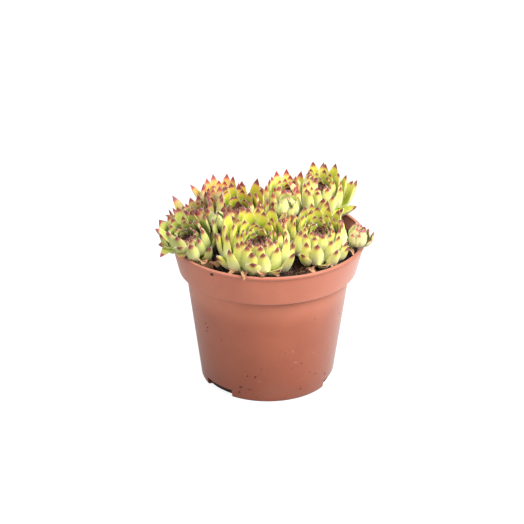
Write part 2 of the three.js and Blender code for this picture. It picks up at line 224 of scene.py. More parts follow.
def feed(tree, made, **inputs):
    """Plugs outputs or plain values into a node's inputs, each named with its spaces as underscores. A key
    that is no input, such as operation, sets the node's own property."""
    for key, value in inputs.items():
        if hasattr(made, key) and key not in ("inputs", "color"):
            setattr(made, key, value)
        else:
            plug(tree, next(s for s in made.inputs if s.name.replace(" ", "_") == key and s.enabled), value)


def node(tree, kind, **inputs):
    """A new shader node of that kind, fed with its inputs."""
    made = tree.nodes.new(kind)
    feed(tree, made, **inputs)
    return made


def number(tree, operation, *values):
    """The output of a Math node on up to three values or sockets."""
    made = node(tree, "ShaderNodeMath", operation=operation)
    for socket, value in zip(made.inputs, values):
        plug(tree, socket, value)
    return made.outputs[0]


def times(tree, first, second):
    """The product of two values or sockets."""
    return number(tree, "MULTIPLY", first, second)


def step(tree, value, low, high):
    """0 where the value is under low, 1 where it is over high, and smooth between."""
    made = node(tree, "ShaderNodeMapRange", interpolation_type="SMOOTHSTEP", Value=value)
    feed(tree, made, From_Min=low, From_Max=high)
    return made.outputs["Result"]


def fade(tree, value, low, high):
    """1 where the value is under low, 0 where it is over high, and smooth between."""
    return number(tree, "SUBTRACT", 1.0, step(tree, value, low, high))


def blended(tree, share, first, second, blend_type="MIX"):
    """The colour between two colours at that share."""
    made = node(tree, "ShaderNodeMix", data_type="RGBA", blend_type=blend_type)
    for place, value in ((0, share), (6, first), (7, second)):
        plug(tree, made.inputs[place], value)
    return made.outputs[2]


def bumps(tree, height, strength, distance):
    """The normal of a surface that a height raises in small bumps."""
    return node(tree, "ShaderNodeBump", Strength=strength, Distance=distance, Height=height).outputs["Normal"]


def srgb(red, green, blue):
    """The linear colour, with alpha, of an sRGB colour given from 0 to 255."""
    c = np.array([red, green, blue]) / 255
    linear = np.where(c <= 0.04045, c / 12.92, ((c + 0.055) / 1.055) ** 2.4)
    return (*linear.tolist(), 1.0)


def material(name):
    """A new node material: its tree, its Principled BSDF and the object coordinates."""
    made = bpy.data.materials.new(name)
    made.use_nodes = True
    tree = made.node_tree
    surface = tree.nodes["Principled BSDF"]
    place = tree.nodes.new("ShaderNodeTexCoord").outputs["Object"]
    return made, tree, surface, place


def new_group(name, inputs, outputs):
    """A new node group whose sockets are given by kind: the group, its input values and its output
    sockets."""
    group = bpy.data.node_groups.new(name, "ShaderNodeTree")
    for in_out, sockets in (("INPUT", inputs), ("OUTPUT", outputs)):
        for kind, names in sockets.items():
            for socket in names:
                group.interface.new_socket(socket, in_out=in_out, socket_type=kind)
    return group, group.nodes.new("NodeGroupInput").outputs, group.nodes.new("NodeGroupOutput").inputs


def mottle_group():
    """The group that the natural and moulded surfaces share. Coarse is a soft cloud, Fine a tighter one, both
    from 0 to 1, and Specks is 1 in small scattered spots, whose share of the surface grows with Spots."""
    group, given, result = new_group(
        "mottle",
        {"NodeSocketVector": ("Vector",), "NodeSocketFloat": ("Scale", "Spots")},
        {"NodeSocketFloat": ("Coarse", "Fine", "Specks")},
    )
    vector, scale, spots = given["Vector"], given["Scale"], given["Spots"]
    coarse = node(group, "ShaderNodeTexNoise", Vector=vector, Scale=scale, Detail=3.0)
    fine = node(group, "ShaderNodeTexNoise", Vector=vector, Scale=times(group, scale, 6.0), Detail=4.0)
    speck = node(group, "ShaderNodeTexVoronoi", Vector=vector, Scale=times(group, scale, 4.0))
    speck_edge = number(group, "ADD", spots, 0.03)
    group.links.new(coarse.outputs[0], result["Coarse"])
    group.links.new(fine.outputs[0], result["Fine"])
    group.links.new(fade(group, speck.outputs["Distance"], spots, speck_edge), result["Specks"])
    return group


MOTTLE = mottle_group()


def mottle(tree, place, scale, spots=0.0):
    """The outputs of the shared mottle group at a scale, by name."""
    return node(tree, "ShaderNodeGroup", node_tree=MOTTLE, Vector=place, Scale=scale, Spots=spots).outputs


# Tints of the plastic, as shares of its red, green and blue: painted shade, darker and browner towards the
# foot, painted light, lighter just under the collar's soft shadow, full colour on the collar, a little darker
# on the bead.
FOOT_PAINTED_SHADE = (0.44, 0.315, 0.215, 1)
BODY_PAINTED_SHADE = (0.74, 0.66, 0.57, 1)
PAINTED_SHADE_TOP = 0.055
UNDER_COLLAR = 0.046
TINT_EDGE = 0.0004
HIGHER_TINTS_WITH_PAINTED_LIGHT = (
    (UNDER_COLLAR, COLLAR_FOOT, (1.02, 1.12, 1.14, 1)),
    (COLLAR_FOOT, COLLAR_FOOT + TINT_EDGE, (1, 1, 1, 1)),
    (bead_foot, bead_foot + TINT_EDGE, (0.82, 0.84, 0.86, 1)),
)
DUST_TOP = 0.03


def pot_plastic():
    """Terracotta plastic: clouded a little by its pigment, with painted shade that darkens it towards the
    foot, painted light that lightens it under the collar, peat dust low down, pale rub marks, a few dark
    specks and a satin gloss."""
    made, tree, surface, place = material("pot_plastic")
    marks = mottle(tree, place, 45.0, 0.05)
    broad = mottle(tree, place, 14.0)
    height = node(tree, "ShaderNodeSeparateXYZ", Vector=place).outputs["Z"]
    colour = blended(tree, step(tree, marks["Coarse"], 0.35, 0.7), srgb(184, 104, 77), srgb(192, 111, 83))
    # Painted shade: the body is darker than the collar, and darker and browner still towards the foot.
    rise = node(tree, "ShaderNodeMapRange", Value=height, From_Max=PAINTED_SHADE_TOP).outputs["Result"]
    painted_light_and_shade = blended(tree, rise, FOOT_PAINTED_SHADE, BODY_PAINTED_SHADE)
    # Painted light: a lighter band just under the collar against its soft shadow, then full colour on the
    # collar and a little darker on the bead.
    for low, high, higher_tint in HIGHER_TINTS_WITH_PAINTED_LIGHT:
        painted_light_and_shade = blended(tree, step(tree, height, low, high), painted_light_and_shade, higher_tint)
    colour = blended(tree, 1.0, colour, painted_light_and_shade, "MULTIPLY")
    dusty = times(tree, fade(tree, height, 0.0, DUST_TOP), step(tree, broad["Fine"], 0.45, 0.7))
    rubbed = times(tree, step(tree, marks["Fine"], 0.66, 0.78), step(tree, broad["Coarse"], 0.5, 0.62))
    specks = times(tree, marks["Specks"], step(tree, broad["Coarse"], 0.5, 0.6))
    colour = blended(tree, times(tree, dusty, 0.35), colour, srgb(120, 74, 58))
    colour = blended(tree, times(tree, rubbed, 0.4), colour, srgb(226, 160, 134))
    colour = blended(tree, times(tree, specks, 0.75), colour, srgb(84, 50, 40))
    dull = number(tree, "MULTIPLY_ADD", marks["Fine"], 0.16, 0.34)
    feed(
        tree,
        surface,
        Base_Color=colour,
        Roughness=number(tree, "ADD", dull, times(tree, dusty, 0.3)),
        Normal=bumps(tree, marks["Fine"], 0.12, 0.0003),
        Specular_IOR_Level=0.5,
        Sheen_Weight=0.42,
        Sheen_Roughness=0.45,
    )
    return made


pot = mesh_object("nursery_pot", pot_points, [pot_faces], sharp=35, slots=[pot_plastic()])
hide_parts("pot")
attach(pot, "root")

# ---------------------------------------------------------------- the soil
# Dark peat fills the pot to a few millimetres under the bead. Its surface is crumbly, with loose crumbs,
# pale grit and reddish-brown fibres lying on it. The stems and runners grow out of it.

SOIL_EDGE = 0.0754
SOIL_MIDDLE = 0.0786
SOIL_RINGS = 150
SOIL_SECTORS = 360
SOIL_RADIUS = 0.0487
SOIL_CLEARANCE = 0.0004
WAVES = 24
CRUMB_FIELDS = ((0.0010, 0.013, 3), (0.0007, 0.0045, 4), (0.0004, 0.0018, 5))  # height, wavelength and seed
CRUMB_SINK = 0.0010
soil_bottom_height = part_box("soil")[0].z


def soil_height(x, y):
    """The smooth height of the soil: a low mound that falls with the square of the distance from the
    middle."""
    share = np.minimum(1, (x**2 + y**2) / COLLAR_FOOT_RADIUS**2)
    return SOIL_MIDDLE + (SOIL_EDGE - SOIL_MIDDLE) * share


def unit_rows(vectors):
    """The vectors along the last axis, each at length 1."""
    return vectors / np.maximum(np.linalg.norm(vectors, axis=-1), 1e-9)[..., None]


def ripple(points, wavelength, seed):
    """A smooth random field, mostly from -1 to 1: the sum of sine waves in random directions over the root of
    their number. Their lengths lie between 0.7 and 1.4 times the given one."""
    random = np.random.default_rng(seed)
    directions = unit_rows(random.normal(size=(WAVES, 3)))
    lengths = wavelength * random.uniform(0.7, 1.4, WAVES)
    phases = random.uniform(0, 2 * np.pi, WAVES)
    total = np.sin(points @ (directions / lengths[:, None]).T * 2 * np.pi + phases)
    return total.sum(-1) / math.sqrt(WAVES)


def soil_relief(x, y):
    """Crumbs on the soil: three fields of ripples, each shorter and lower than the one before, folded at
    zero so that the crumbs are round and the gaps between them sharp."""
    points = np.stack([x, y, np.zeros_like(x)], -1)
    fields = [height * np.abs(ripple(points, wavelength, seed)) for height, wavelength, seed in CRUMB_FIELDS]
    return sum(fields) - CRUMB_SINK


def inner_radius(z):
    """The radius of the pot's inside at a height."""
    body = FOOT_RADIUS + (BODY_TOP_RADIUS - FOOT_RADIUS) * z / COLLAR_FOOT - WALL
    collar = np.interp(z, [ledge, POT_HEIGHT], [COLLAR_FOOT_RADIUS - WALL, inner_rim])
    return np.where(z < ledge, body, collar)


radius = np.linspace(0, 1, SOIL_RINGS) ** 0.8 * SOIL_RADIUS
angle = np.linspace(0, 2 * np.pi, SOIL_SECTORS, endpoint=False)[:, None]
soil_x, soil_y = radius * np.cos(angle), radius * np.sin(angle)
soil_z = soil_height(soil_x, soil_y) + soil_relief(soil_x, soil_y)
soil_top = np.stack([soil_x, soil_y, soil_z], -1)
# The side goes down from the top's edge, steps in over the pot's ledge and goes on down inside the body.
side_heights = np.array(
    [SOIL_EDGE - 0.001, ledge + 0.0005, ledge + 0.0004, COLLAR_FOOT - 0.0002, soil_bottom_height]
)
side_radius = inner_radius(side_heights) - SOIL_CLEARANCE
side_radius[2] = side_radius[3]
soil_side = turned(np.stack([side_radius, side_heights], -1), SOIL_SECTORS)
soil_bottom = turned(np.array([[0.0, soil_bottom_height]]), SOIL_SECTORS)
soil_grid = np.concatenate([soil_top, soil_side, soil_bottom], axis=1)
soil_index = np.arange(soil_grid[..., 0].size).reshape(soil_grid.shape[:2])
soil_faces = cells(soil_index, np.roll(soil_index, -1, axis=0)).reshape(-1, 4)


def peat():
    """Peat: nearly black where it is damp in the hollows, browner on the crumbs and reddish in patches."""
    made, tree, surface, place = material("peat")
    grain = mottle(tree, place, 150.0, 0.12)
    patches = mottle(tree, place, 40.0)
    colour = blended(tree, step(tree, grain["Fine"], 0.4, 0.65), srgb(15, 11, 9), srgb(46, 31, 24))
    warm = times(tree, step(tree, patches["Coarse"], 0.5, 0.68), 0.7)
    colour = blended(tree, warm, colour, srgb(70, 40, 28))
    feed(
        tree,
        surface,
        Base_Color=blended(tree, times(tree, grain["Specks"], 0.3), colour, srgb(112, 98, 78)),
        Roughness=number(tree, "MULTIPLY_ADD", patches["Fine"], 0.2, 0.78),
        Normal=bumps(tree, grain["Fine"], 0.9, 0.0006),
    )
    return made


PEAT = peat()
soil = mesh_object("potting_soil", soil_grid.reshape(-1, 3), [soil_faces], sharp=60, slots=[PEAT])
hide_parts("soil")
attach(soil, "root")

# Crumbs and grit: small stony and peaty lumps pressed into the top of the soil. Each is a twenty-sided
# ball, pulled out of round.
CRUMBS = 1500
CRUMB_SIZES = (0.0003, 0.0011)
GRIT = 260
GRIT_SIZES = (0.0003, 0.0008)
GRIT_FROM = 0.02  # the grit's least distance from the middle
WALL_MARGIN = 0.0012
BALL_CORNERS = 12


def ball():
    """The twelve points and twenty faces of an icosahedron of radius 1."""
    shape = bmesh.new()
    bmesh.ops.create_icosphere(shape, subdivisions=1, radius=1)
    shape.verts.ensure_lookup_table()
    points = np.array([v.co for v in shape.verts])
    faces = np.array([[v.index for v in f.verts] for f in shape.faces])
    shape.free()
    return points, faces


def turns(count, random):
    """Random turns as matrices (count, 3, 3), from random unit quaternions."""
    w, x, y, z = unit_rows(random.normal(size=(count, 4))).T
    rows = [
        [1 - 2 * (y * y + z * z), 2 * (x * y - z * w), 2 * (x * z + y * w)],
        [2 * (x * y + z * w), 1 - 2 * (x * x + z * z), 2 * (y * z - x * w)],
        [2 * (x * z - y * w), 2 * (y * z + x * w), 1 - 2 * (x * x + y * y)],
    ]
    return np.array(rows).transpose(2, 0, 1)


def lumps(centres, sizes, random):
    """Points and faces of one uneven ball at each centre: a ball with each corner pulled in or out by up to
    about a third, stretched unevenly and turned at random."""
    points, faces = ball()
    count = len(centres)
    shapes = points * random.uniform(0.65, 1.25, (count, len(points), 1))
    shapes = shapes * random.uniform(0.6, 1.2, (count, 1, 3))
    placed = np.einsum("nij,npj->npi", turns(count, random), shapes) * sizes[:, None, None] + centres[:, None]
    all_faces = faces + (np.arange(count) * len(points))[:, None, None]
    return placed.reshape(-1, 3), all_faces.reshape(-1, 3)


def on_soil(count, random, low=0.0, high=SOIL_RADIUS - WALL_MARGIN):
    """Random points on the soil's surface between two distances from the middle."""
    distance = np.sqrt(random.uniform((low / high) ** 2, 1, count)) * high
    direction = random.uniform(0, 2 * np.pi, count)
    x, y = distance * np.cos(direction), distance * np.sin(direction)
    return np.stack([x, y, soil_height(x, y) + soil_relief(x, y)], -1)


def grainy(name, scale, dark, light, shade, dull, relief):
    """Loose grains or strands, each with its own tone between dark and light, and shaded by a fine grain."""
    made, tree, surface, place = material(name)
    tone = node(tree, "ShaderNodeAttribute", attribute_name="tone").outputs["Fac"]
    grain = mottle(tree, place, scale)
    colour = blended(tree, tone, srgb(*dark), srgb(*light))
    feed(
        tree,
        surface,
        Base_Color=blended(tree, times(tree, grain["Fine"], 0.5), colour, srgb(*shade)),
        Roughness=number(tree, "MULTIPLY_ADD", grain["Coarse"], 0.2, dull),
        Normal=bumps(tree, grain["Fine"], 0.5, relief),
    )
    return made


def grit_stone():
    """Grit: grey-green and sandy grains."""
    return grainy("grit_stone", 400.0, (96, 98, 84), (168, 150, 120), (60, 56, 48), 0.6, 0.0002)


random = np.random.default_rng(11)
crumb_points, crumb_faces = lumps(on_soil(CRUMBS, random), random.uniform(*CRUMB_SIZES, CRUMBS), random)
crumbs = mesh_object("peat_crumbs", crumb_points, [crumb_faces], sharp=80, slots=[PEAT])
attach(crumbs, "root")

grit_places = on_soil(GRIT, random, GRIT_FROM)
grit_points, grit_faces = lumps(grit_places, random.uniform(*GRIT_SIZES, GRIT), random)
grit_tone = np.repeat(random.uniform(0, 1, GRIT), BALL_CORNERS)
grit = mesh_object("grit", grit_points, [grit_faces], {"tone": grit_tone}, sharp=80, slots=[grit_stone()])
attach(grit, "root")

# Fibres: curled threads of bark and moss root in the peat, three-sided strips 3 to 7 mm long that lie on the
# surface. Shorter ones are heaped along the pot's wall under the front right rosette.
FIBRES = 420
FIBRE_LENGTHS = (0.003, 0.007)
HEAPED = 150
HEAPED_LENGTHS = (0.0015, 0.0045)
HEAP_DIRECTIONS = (-66, -34)
HEAP_DISTANCES = (0.038, 0.0455)
HEAP_HEIGHTS = (0.0004, 0.0030)
FIBRE_WIDTHS = (0.0001, 0.00028)
FIBRE_LIFTS = (0.0002, 0.0012)
FIBRE_BEND = 2.2
FIBRE_MARGIN = 0.006
FIBRE_STEPS = 7


def strands(starts, headings, lengths, widths, bends, lift):
    """Thin tapered strips with three sides. Each runs from its start along its heading, turns evenly by its
    bend, in radians, and rises and falls again by its lift."""
    t = np.linspace(0, 1, FIBRE_STEPS)
    heading = headings[:, None] + bends[:, None] * t
    x = np.cumsum(np.cos(heading), axis=1) * lengths[:, None] / FIBRE_STEPS
    y = np.cumsum(np.sin(heading), axis=1) * lengths[:, None] / FIBRE_STEPS
    middle = starts[:, None] + np.stack([x, y, lift[:, None] * np.sin(np.pi * t)], -1)
    side = np.stack([-np.sin(heading), np.cos(heading), np.zeros_like(heading)], -1)
    width = widths[:, None, None] * np.sin(np.pi * (0.12 + 0.8 * t))[None, :, None]
    top = np.array([0, 0, 0.7])
    ring = np.stack([middle - side * width, middle + top * width, middle + side * width], 2)
    count = len(starts)
    index = np.arange(count * FIBRE_STEPS * 3).reshape(count, FIBRE_STEPS, 3)
    nxt = np.roll(index, -1, axis=2)
    walls = cells(index, nxt).reshape(-1, 4)
    ends = np.concatenate([index[:, 0][:, ::-1], index[:, -1]])
    return ring.reshape(-1, 3), [walls, ends]


# Bark fibre is red-brown to straw, by the strand.
BARK_FIBRE = grainy("bark_fibre", 300.0, (92, 48, 32), (176, 128, 88), (52, 32, 24), 0.65, 0.0001)

heap_direction = np.radians(random.uniform(*HEAP_DIRECTIONS, HEAPED))
heap_distance = random.uniform(*HEAP_DISTANCES, HEAPED)
heap = np.stack([heap_distance * np.cos(heap_direction), heap_distance * np.sin(heap_direction)])
heap_height = soil_height(*heap) + soil_relief(*heap) + random.uniform(*HEAP_HEIGHTS, HEAPED)
fibre_starts = on_soil(FIBRES, random, 0.0, SOIL_RADIUS - FIBRE_MARGIN) + np.array([0, 0, 0.0004])
strand_count = FIBRES + HEAPED
fibre_headings = random.uniform(0, 2 * np.pi, FIBRES)
heap_headings = heap_direction + np.pi / 2 + random.uniform(-0.7, 0.7, HEAPED)
fibre_lengths = random.uniform(*FIBRE_LENGTHS, FIBRES)
heap_lengths = random.uniform(*HEAPED_LENGTHS, HEAPED)
fibre_points, fibre_faces = strands(
    np.concatenate([fibre_starts, np.stack([*heap, heap_height], -1)]),
    np.concatenate([fibre_headings, heap_headings]),
    np.concatenate([fibre_lengths, heap_lengths]),
    random.uniform(*FIBRE_WIDTHS, strand_count),
    random.uniform(-FIBRE_BEND, FIBRE_BEND, strand_count),
    random.uniform(*FIBRE_LIFTS, strand_count),
)
fibre_tone = np.repeat(random.uniform(0, 1, strand_count) ** 2, FIBRE_STEPS * 3)
fibres = mesh_object("peat_fibres", fibre_points, fibre_faces, {"tone": fibre_tone}, slots=[BARK_FIBRE])
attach(fibres, "root")

# ---------------------------------------------------------------- dirt on the pot
# Specks of peat and a few grains of grit have dried onto the outside of the pot, most of them near its
# foot. Each is an uneven ball, half sunk in the plastic.

# Direction from the front in degrees, height and radius in millimetres.
PEAT_SPECKS = (
    (-34.3, 79.3, 1.0), (-52.4, 41.7, 0.4), (-50.5, 39.7, 0.5), (-52.4, 37.3, 0.4), (-36.5, 36.0, 0.3),
    (-15.9, 16.3, 0.45), (-9.3, 16.3, 0.45), (-22.7, 8.2, 0.6), (-21.0, 8.6, 0.4), (-15.6, 7.8, 0.55),
    (-13.2, 7.6, 0.4), (-23.9, 4.8, 0.5), (28.1, 23.0, 0.35), (43.8, 12.9, 0.45), (57.0, 9.1, 0.5),
    (36.8, 15.3, 0.3), (29.2, 6.5, 0.4), (10.1, 32.5, 0.3), (-4.4, 21.7, 0.3),
)
GRIT_SPECKS = (
    (-13.5, 72.3, 0.45), (-13.0, 71.2, 0.3), (-34.8, 71.3, 0.5), (-33.6, 70.6, 0.35), (19.2, 75.4, 0.35),
)
SCATTERED = 70
SCATTERED_SIZES = (0.1, 0.28)


def on_pot(directions, heights):
    """Points on the outside of the pot, from directions in degrees from the front and heights."""
    distance = np.interp(
        heights,
        [0, COLLAR_FOOT, COLLAR_FOOT + 1e-6, bead_foot],
        [FOOT_RADIUS, BODY_TOP_RADIUS, COLLAR_FOOT_RADIUS, COLLAR_TOP_RADIUS],
    )
    angle = np.radians(directions)
    return np.stack([distance * np.sin(angle), -distance * np.cos(angle), heights], -1)


random = np.random.default_rng(12)
listed = np.array(PEAT_SPECKS)
directions = np.concatenate([listed[:, 0], random.uniform(-180, 180, SCATTERED)])
heights = np.concatenate([listed[:, 1], 3 + 60 * random.uniform(0, 1, SCATTERED) ** 2.5]) / 1000
sizes = np.concatenate([listed[:, 2], random.uniform(*SCATTERED_SIZES, SCATTERED)]) / 1000
speck_points, speck_faces = lumps(on_pot(directions, heights), sizes, random)
specks = mesh_object("peat_specks", speck_points, [speck_faces], sharp=80, slots=[PEAT])
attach(specks, "root")

listed = np.array(GRIT_SPECKS)
grain_points, grain_faces = lumps(on_pot(listed[:, 0], listed[:, 1] / 1000), listed[:, 2] / 1000, random)
grain_tone = np.ones(len(grain_points))
grains = mesh_object("grit_specks", grain_points, [grain_faces], {"tone": grain_tone}, slots=[grit_stone()])
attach(grains, "root")

# ---------------------------------------------------------------- the rosettes' rule
# A Sempervivum rosette is a short stem packed with fleshy leaves, each set a golden angle round from the
# last. Every leaf starts nearly flat, turns up and ends in a sharp point. A leaf that meets a neighbour or
# the pot stands up.

GAP = 0.0003
GOLDEN = 137.508
LEAF_LENGTH = (0.027, 0.0365, 0.0275, 0.019, 0.012, 0.007)
LEAF_HALF_WIDTH = (0.0043, 0.0043, 0.0039, 0.0032, 0.0024, 0.0014)
LEAF_THICKNESS = (0.0023, 0.0024, 0.0023, 0.0020, 0.0016, 0.0012)
LEAST_THICKNESS = 0.0009
BASE_LEAN = (104, 96, 86, 78, 60, 20)
TIP_LEAN = (44, 4, -6, -13, -18, -8)
BEND_START = (0.3, 0.24, 0.19, 0.18, 0.22, 0.3)
BEND_END = (0.66, 0.59, 0.57, 0.6, 0.7, 0.75)
LEAF_FOOT = (0, 0.0006, 0.0013, 0.0022, 0.0034, 0.0048)
FOOT_RADII = (0.0022, 0.0020, 0.0017, 0.0013, 0.0009, 0.0004)
CUP = 0.3
WIDEST = 0.66
FOOT_SHARE = 0.62
FULLNESS = 0.8  # how fast a leaf thins towards its tip
OLD_LEAF = {"half_width": 0.0034, "thickness": 0.0008, "from": 100, "start": 0.4, "end": 0.9,
            "foot": -0.0015, "foot_radius": 0.002}
LOOSE_AZIMUTH, LOOSE_LENGTH, LOOSE_LEAN = 10, 0.1, 6
STAND_TRIES, STAND_BASE, STAND_TIP, STAND_SHORTER = 24, 3, 4, 0.985
STAND_BETWEEN = (0.25, 0.5, 0.75)
HEART_HEIGHT = 0.008
REACH = 0.021
PLUMP = 1.3
LEAF_ACROSS = 7
LEAF_ALONG = 12
BUD_LEAVES = 20
CROWD = 1.25
FILL_FIRST, FILL_STEP, FILL_TURN, FILL_SIZE = -6, 6.5, -6.2, 0.9
FILL_FROM, FILL_TO = 0.16, 0.66
BUD_FROM, BUD_SPAN, BUD_SIZE = 0.8, 0.19, 0.82
LOW_RINGS = (0.06, 0.38, 0.66)  # the rings of points of a low leaf's plain solid, as shares of its length
UPPER_RINGS = (0.06, 0.6)
UPPER_FROM = 0.22
OVER_SOIL = 0.0006
LIP_INSIDE, LIP_RAMP, LIP_OUTSIDE = 0.046, 0.0032, 0.001

chosen = np.linspace(0, 1, 6)


def by_age(values, t):
    """The value at t, from the lowest leaf at 0 to the heart at 1, of a line through evenly spaced values."""
    return np.interp(t, chosen, values)


def unit(vector):
    """The vector at length 1."""
    return vector / np.linalg.norm(vector)


def numbers(seed):
    """An endless repeatable stream of numbers from 0 to 1. The solids' leaves are placed by the same
    stream."""
    state = seed
    while True:
        state = (state * 1664525 + 1013904223) % 2**32
        yield state / 2**32


def rosette(
    name, leaves, turn, at, lean, tilt, size, rise=0.0, open_by=0, stand=0, old=(), plump=1.0, runner=None,
    fill_from=FILL_FROM,
):
    """A rosette's values with its axes: up is its own axis, across and over span its face. Its heart lies
    above its crown, and its reach is its radius. Small leaves fill its gaps from the share fill_from of the
    spiral."""
    tilt = math.radians(tilt)
    up = unit(np.array([*lean, 0.0])) * math.sin(tilt) + np.array([0, 0, math.cos(tilt)])
    across = unit(np.cross([0, 1, 0], up))
    crown = np.array(at)
    return {
        "name": name, "leaves": leaves, "turn": turn, "crown": crown, "size": size, "rise": rise,
        "open": open_by, "stand": stand, "old": old, "plump": plump, "runner": runner, "fill_from": fill_from,
        "up": up, "across": across, "over": np.cross(up, across),
        "heart": crown + up * HEART_HEIGHT * size, "reach": REACH * size,
    }


def fences(own, everyone):
    """The planes, as normals and offsets, that part a rosette from each near neighbour in proportion to their
    reach. What lies below zero by a plane is the rosette's own."""
    normals, offsets = [], []
    for other in everyone:
        if other is own:
            continue
        between = other["heart"] - own["heart"]
        apart = np.linalg.norm(between)
        room = apart * own["reach"] / (own["reach"] + other["reach"]) - GAP
        if room < 2 * own["reach"]:
            normals.append(between / apart)
            offsets.append(-(between / apart) @ own["heart"] - room)
    return np.array(normals), np.array(offsets)


def leaf_floor(x, y):
    """The lowest height a leaf may have: over the soil, over the pot's bead, and falling away outside it."""
    distance = np.hypot(x, y)
    over_lip = POT_HEIGHT + 2 * GAP
    over_soil = soil_height(x, y) + OVER_SOIL + GAP
    inside = over_soil + (over_lip - over_soil) * np.clip((distance - LIP_INSIDE) / LIP_RAMP, 0, 1)
    outside = over_lip - (distance - RIM_RADIUS - LIP_OUTSIDE)
    return np.where(distance > RIM_RADIUS + LIP_OUTSIDE, outside, inside)


def pressed(points, walls):
    """The points moved back inside each plane in turn, and then up to the floor."""
    points = points.copy()
    for normal, offset in zip(*walls):
        points -= np.maximum(0, points @ normal + offset)[..., None] * normal
    points[..., 2] = np.maximum(points[..., 2], leaf_floor(points[..., 0], points[..., 1]))
    return points


def leaf_outline(s):
    """A leaf's half width at a share s of its length, as a share of its largest: it widens from its foot by a
    quarter sine wave, and closes to its pointed tip by a quarter cosine wave."""
    widening = FOOT_SHARE + (1 - FOOT_SHARE) * np.sin(np.pi / 2 * np.minimum(s / WIDEST, 1))
    closing = np.cos(np.pi / 2 * np.clip((s - WIDEST) / (1 - WIDEST), 0, 1))
    return np.where(s < WIDEST, widening, closing)


def leaf_points(own, leaf, s, v, inner):
    """Points of leaves. s runs along the leaf, v across it from -1 to 1, and inner is 1 on its inner face
    and 0 on its outer. The middle line is straight at the lean of its foot, turns in an even arc, and is
    straight again at the lean of its tip. The margins rise by the square of v, and the thickness falls off
    by it."""
    start_lean, end_lean = np.radians(leaf["from"]), np.radians(leaf["to"])
    bent = np.clip((s - leaf["start"]) / (leaf["end"] - leaf["start"]), 0, 1)
    lean = start_lean + (end_lean - start_lean) * bent
    before = leaf["length"] * np.minimum(s, leaf["start"])
    arc = leaf["length"] * (leaf["end"] - leaf["start"]) / (end_lean - start_lean)
    after = leaf["length"] * np.maximum(0, s - leaf["end"])
    distance = (
        leaf["foot_radius"] + before * np.sin(start_lean)
        + arc * (np.cos(start_lean) - np.cos(lean)) + after * np.sin(end_lean)
    )
    height = (
        leaf["foot"] + before * np.cos(start_lean)
        + arc * (np.sin(lean) - np.sin(start_lean)) + after * np.cos(end_lean)
    )
    width = leaf["half_width"] * leaf_outline(s)
    full = leaf_outline(s) ** FULLNESS * (1 - v * v)
    rise = CUP * width * v * v + leaf["thickness"] * full * np.where(inner, 0.25, -0.75)
    azimuth = leaf["azimuth"][..., None]
    outward = np.cos(azimuth) * own["across"] + np.sin(azimuth) * own["over"]
    sideways = np.cross(own["up"], outward)
    return (
        own["crown"]
        + outward * (distance - rise * np.cos(lean))[..., None]
        + own["up"] * (height + rise * np.sin(lean))[..., None]
        + sideways * (width * v)[..., None]
    )


def stood_up(own, leaf, walls):
    """The leaf, bent up at its foot while it goes under the floor, and stood up and shortened while it goes
    beyond the planes. It is tried at the rings of points that its plain solid has, and at shares between
    them."""
    leaf = {key: np.array(float(value)) for key, value in leaf.items()}
    stations = np.array(LOW_RINGS if leaf["t"] < UPPER_FROM else UPPER_RINGS)[:, None]
    v, inner = np.array([-1.0, 0.0, 1.0]), np.array([1, 0, 1])
    normals, offsets = walls
    for _ in range(STAND_TRIES - 1):
        rings = leaf_points(own, leaf, stations, v, inner)
        tip = np.broadcast_to(leaf_points(own, leaf, np.ones((1, 1)), np.zeros(1), np.ones(1)), (1, 3, 3))
        rings = np.concatenate([rings, tip])
        steps = rings[1:] - rings[:-1]
        tried = np.concatenate([rings] + [rings[:-1] + share * steps for share in STAND_BETWEEN])
        blocked = (tried @ normals.T + offsets).max() > 0
        if not blocked and (tried[..., 2] >= leaf_floor(tried[..., 0], tried[..., 1])).all():
            break
        leaf["from"] -= STAND_BASE
        if blocked:
            leaf["to"] -= STAND_TIP
            leaf["length"] *= STAND_SHORTER
    return leaf


def rosette_leaves(own, walls):
    """The values of all the leaves of a rosette, as one array for each kind of value. After the leaves of
    the solid come slightly smaller ones in the gaps between them, each halfway between four leaves of the
    spiral, and then more small ones in the bud."""
    draw = numbers(own["turn"])
    size = own["size"]
    count = own["leaves"]
    plan = [((i / (count - 1)) ** CROWD, i * GOLDEN, 1.0) for i in range(count)]
    for i in range(FILL_FIRST, count):
        t = ((i + FILL_STEP) / (count - 1)) ** CROWD
        if own["fill_from"] < t < FILL_TO:
            plan.append((t, i * GOLDEN + FILL_TURN, FILL_SIZE))
    for k in range(BUD_LEAVES):
        plan.append((BUD_FROM + BUD_SPAN * k / BUD_LEAVES, (count + k) * GOLDEN, BUD_SIZE))
    leaves = []
    for t, azimuth, bud in plan:
        leaf = {
            "t": t,
            "azimuth": math.radians(own["turn"] + azimuth + (next(draw) - 0.5) * LOOSE_AZIMUTH),
            "length": by_age(LEAF_LENGTH, t) * size * bud * (1 + (next(draw) - 0.5) * LOOSE_LENGTH),
            "from": by_age(BASE_LEAN, t) - own["stand"] + (next(draw) - 0.5) * LOOSE_LEAN,
            "to": by_age(TIP_LEAN, t) + own["open"] + (next(draw) - 0.5) * LOOSE_LEAN,
            "start": by_age(BEND_START, t),
            "end": by_age(BEND_END, t),
            "half_width": by_age(LEAF_HALF_WIDTH, t) * size * own["plump"] * bud,
            "thickness": max(LEAST_THICKNESS * bud, by_age(LEAF_THICKNESS, t) * size * bud),
            "foot": by_age(LEAF_FOOT, t) * size - own["rise"] * (1 - t) ** 2,
            "foot_radius": by_age(FOOT_RADII, t) * size,
            "dry": 0.0,
        }
        leaves.append(stood_up(own, leaf, walls))
    for azimuth, length, tip_lean, dry in own["old"]:
        leaf = {"t": 0.0, "azimuth": math.radians(azimuth), "length": length, "to": tip_lean, "dry": dry}
        leaves.append(stood_up(own, {**OLD_LEAF, **leaf}, walls))
    return {key: np.array([leaf[key] for leaf in leaves])[:, None, None] for key in leaves[0]}


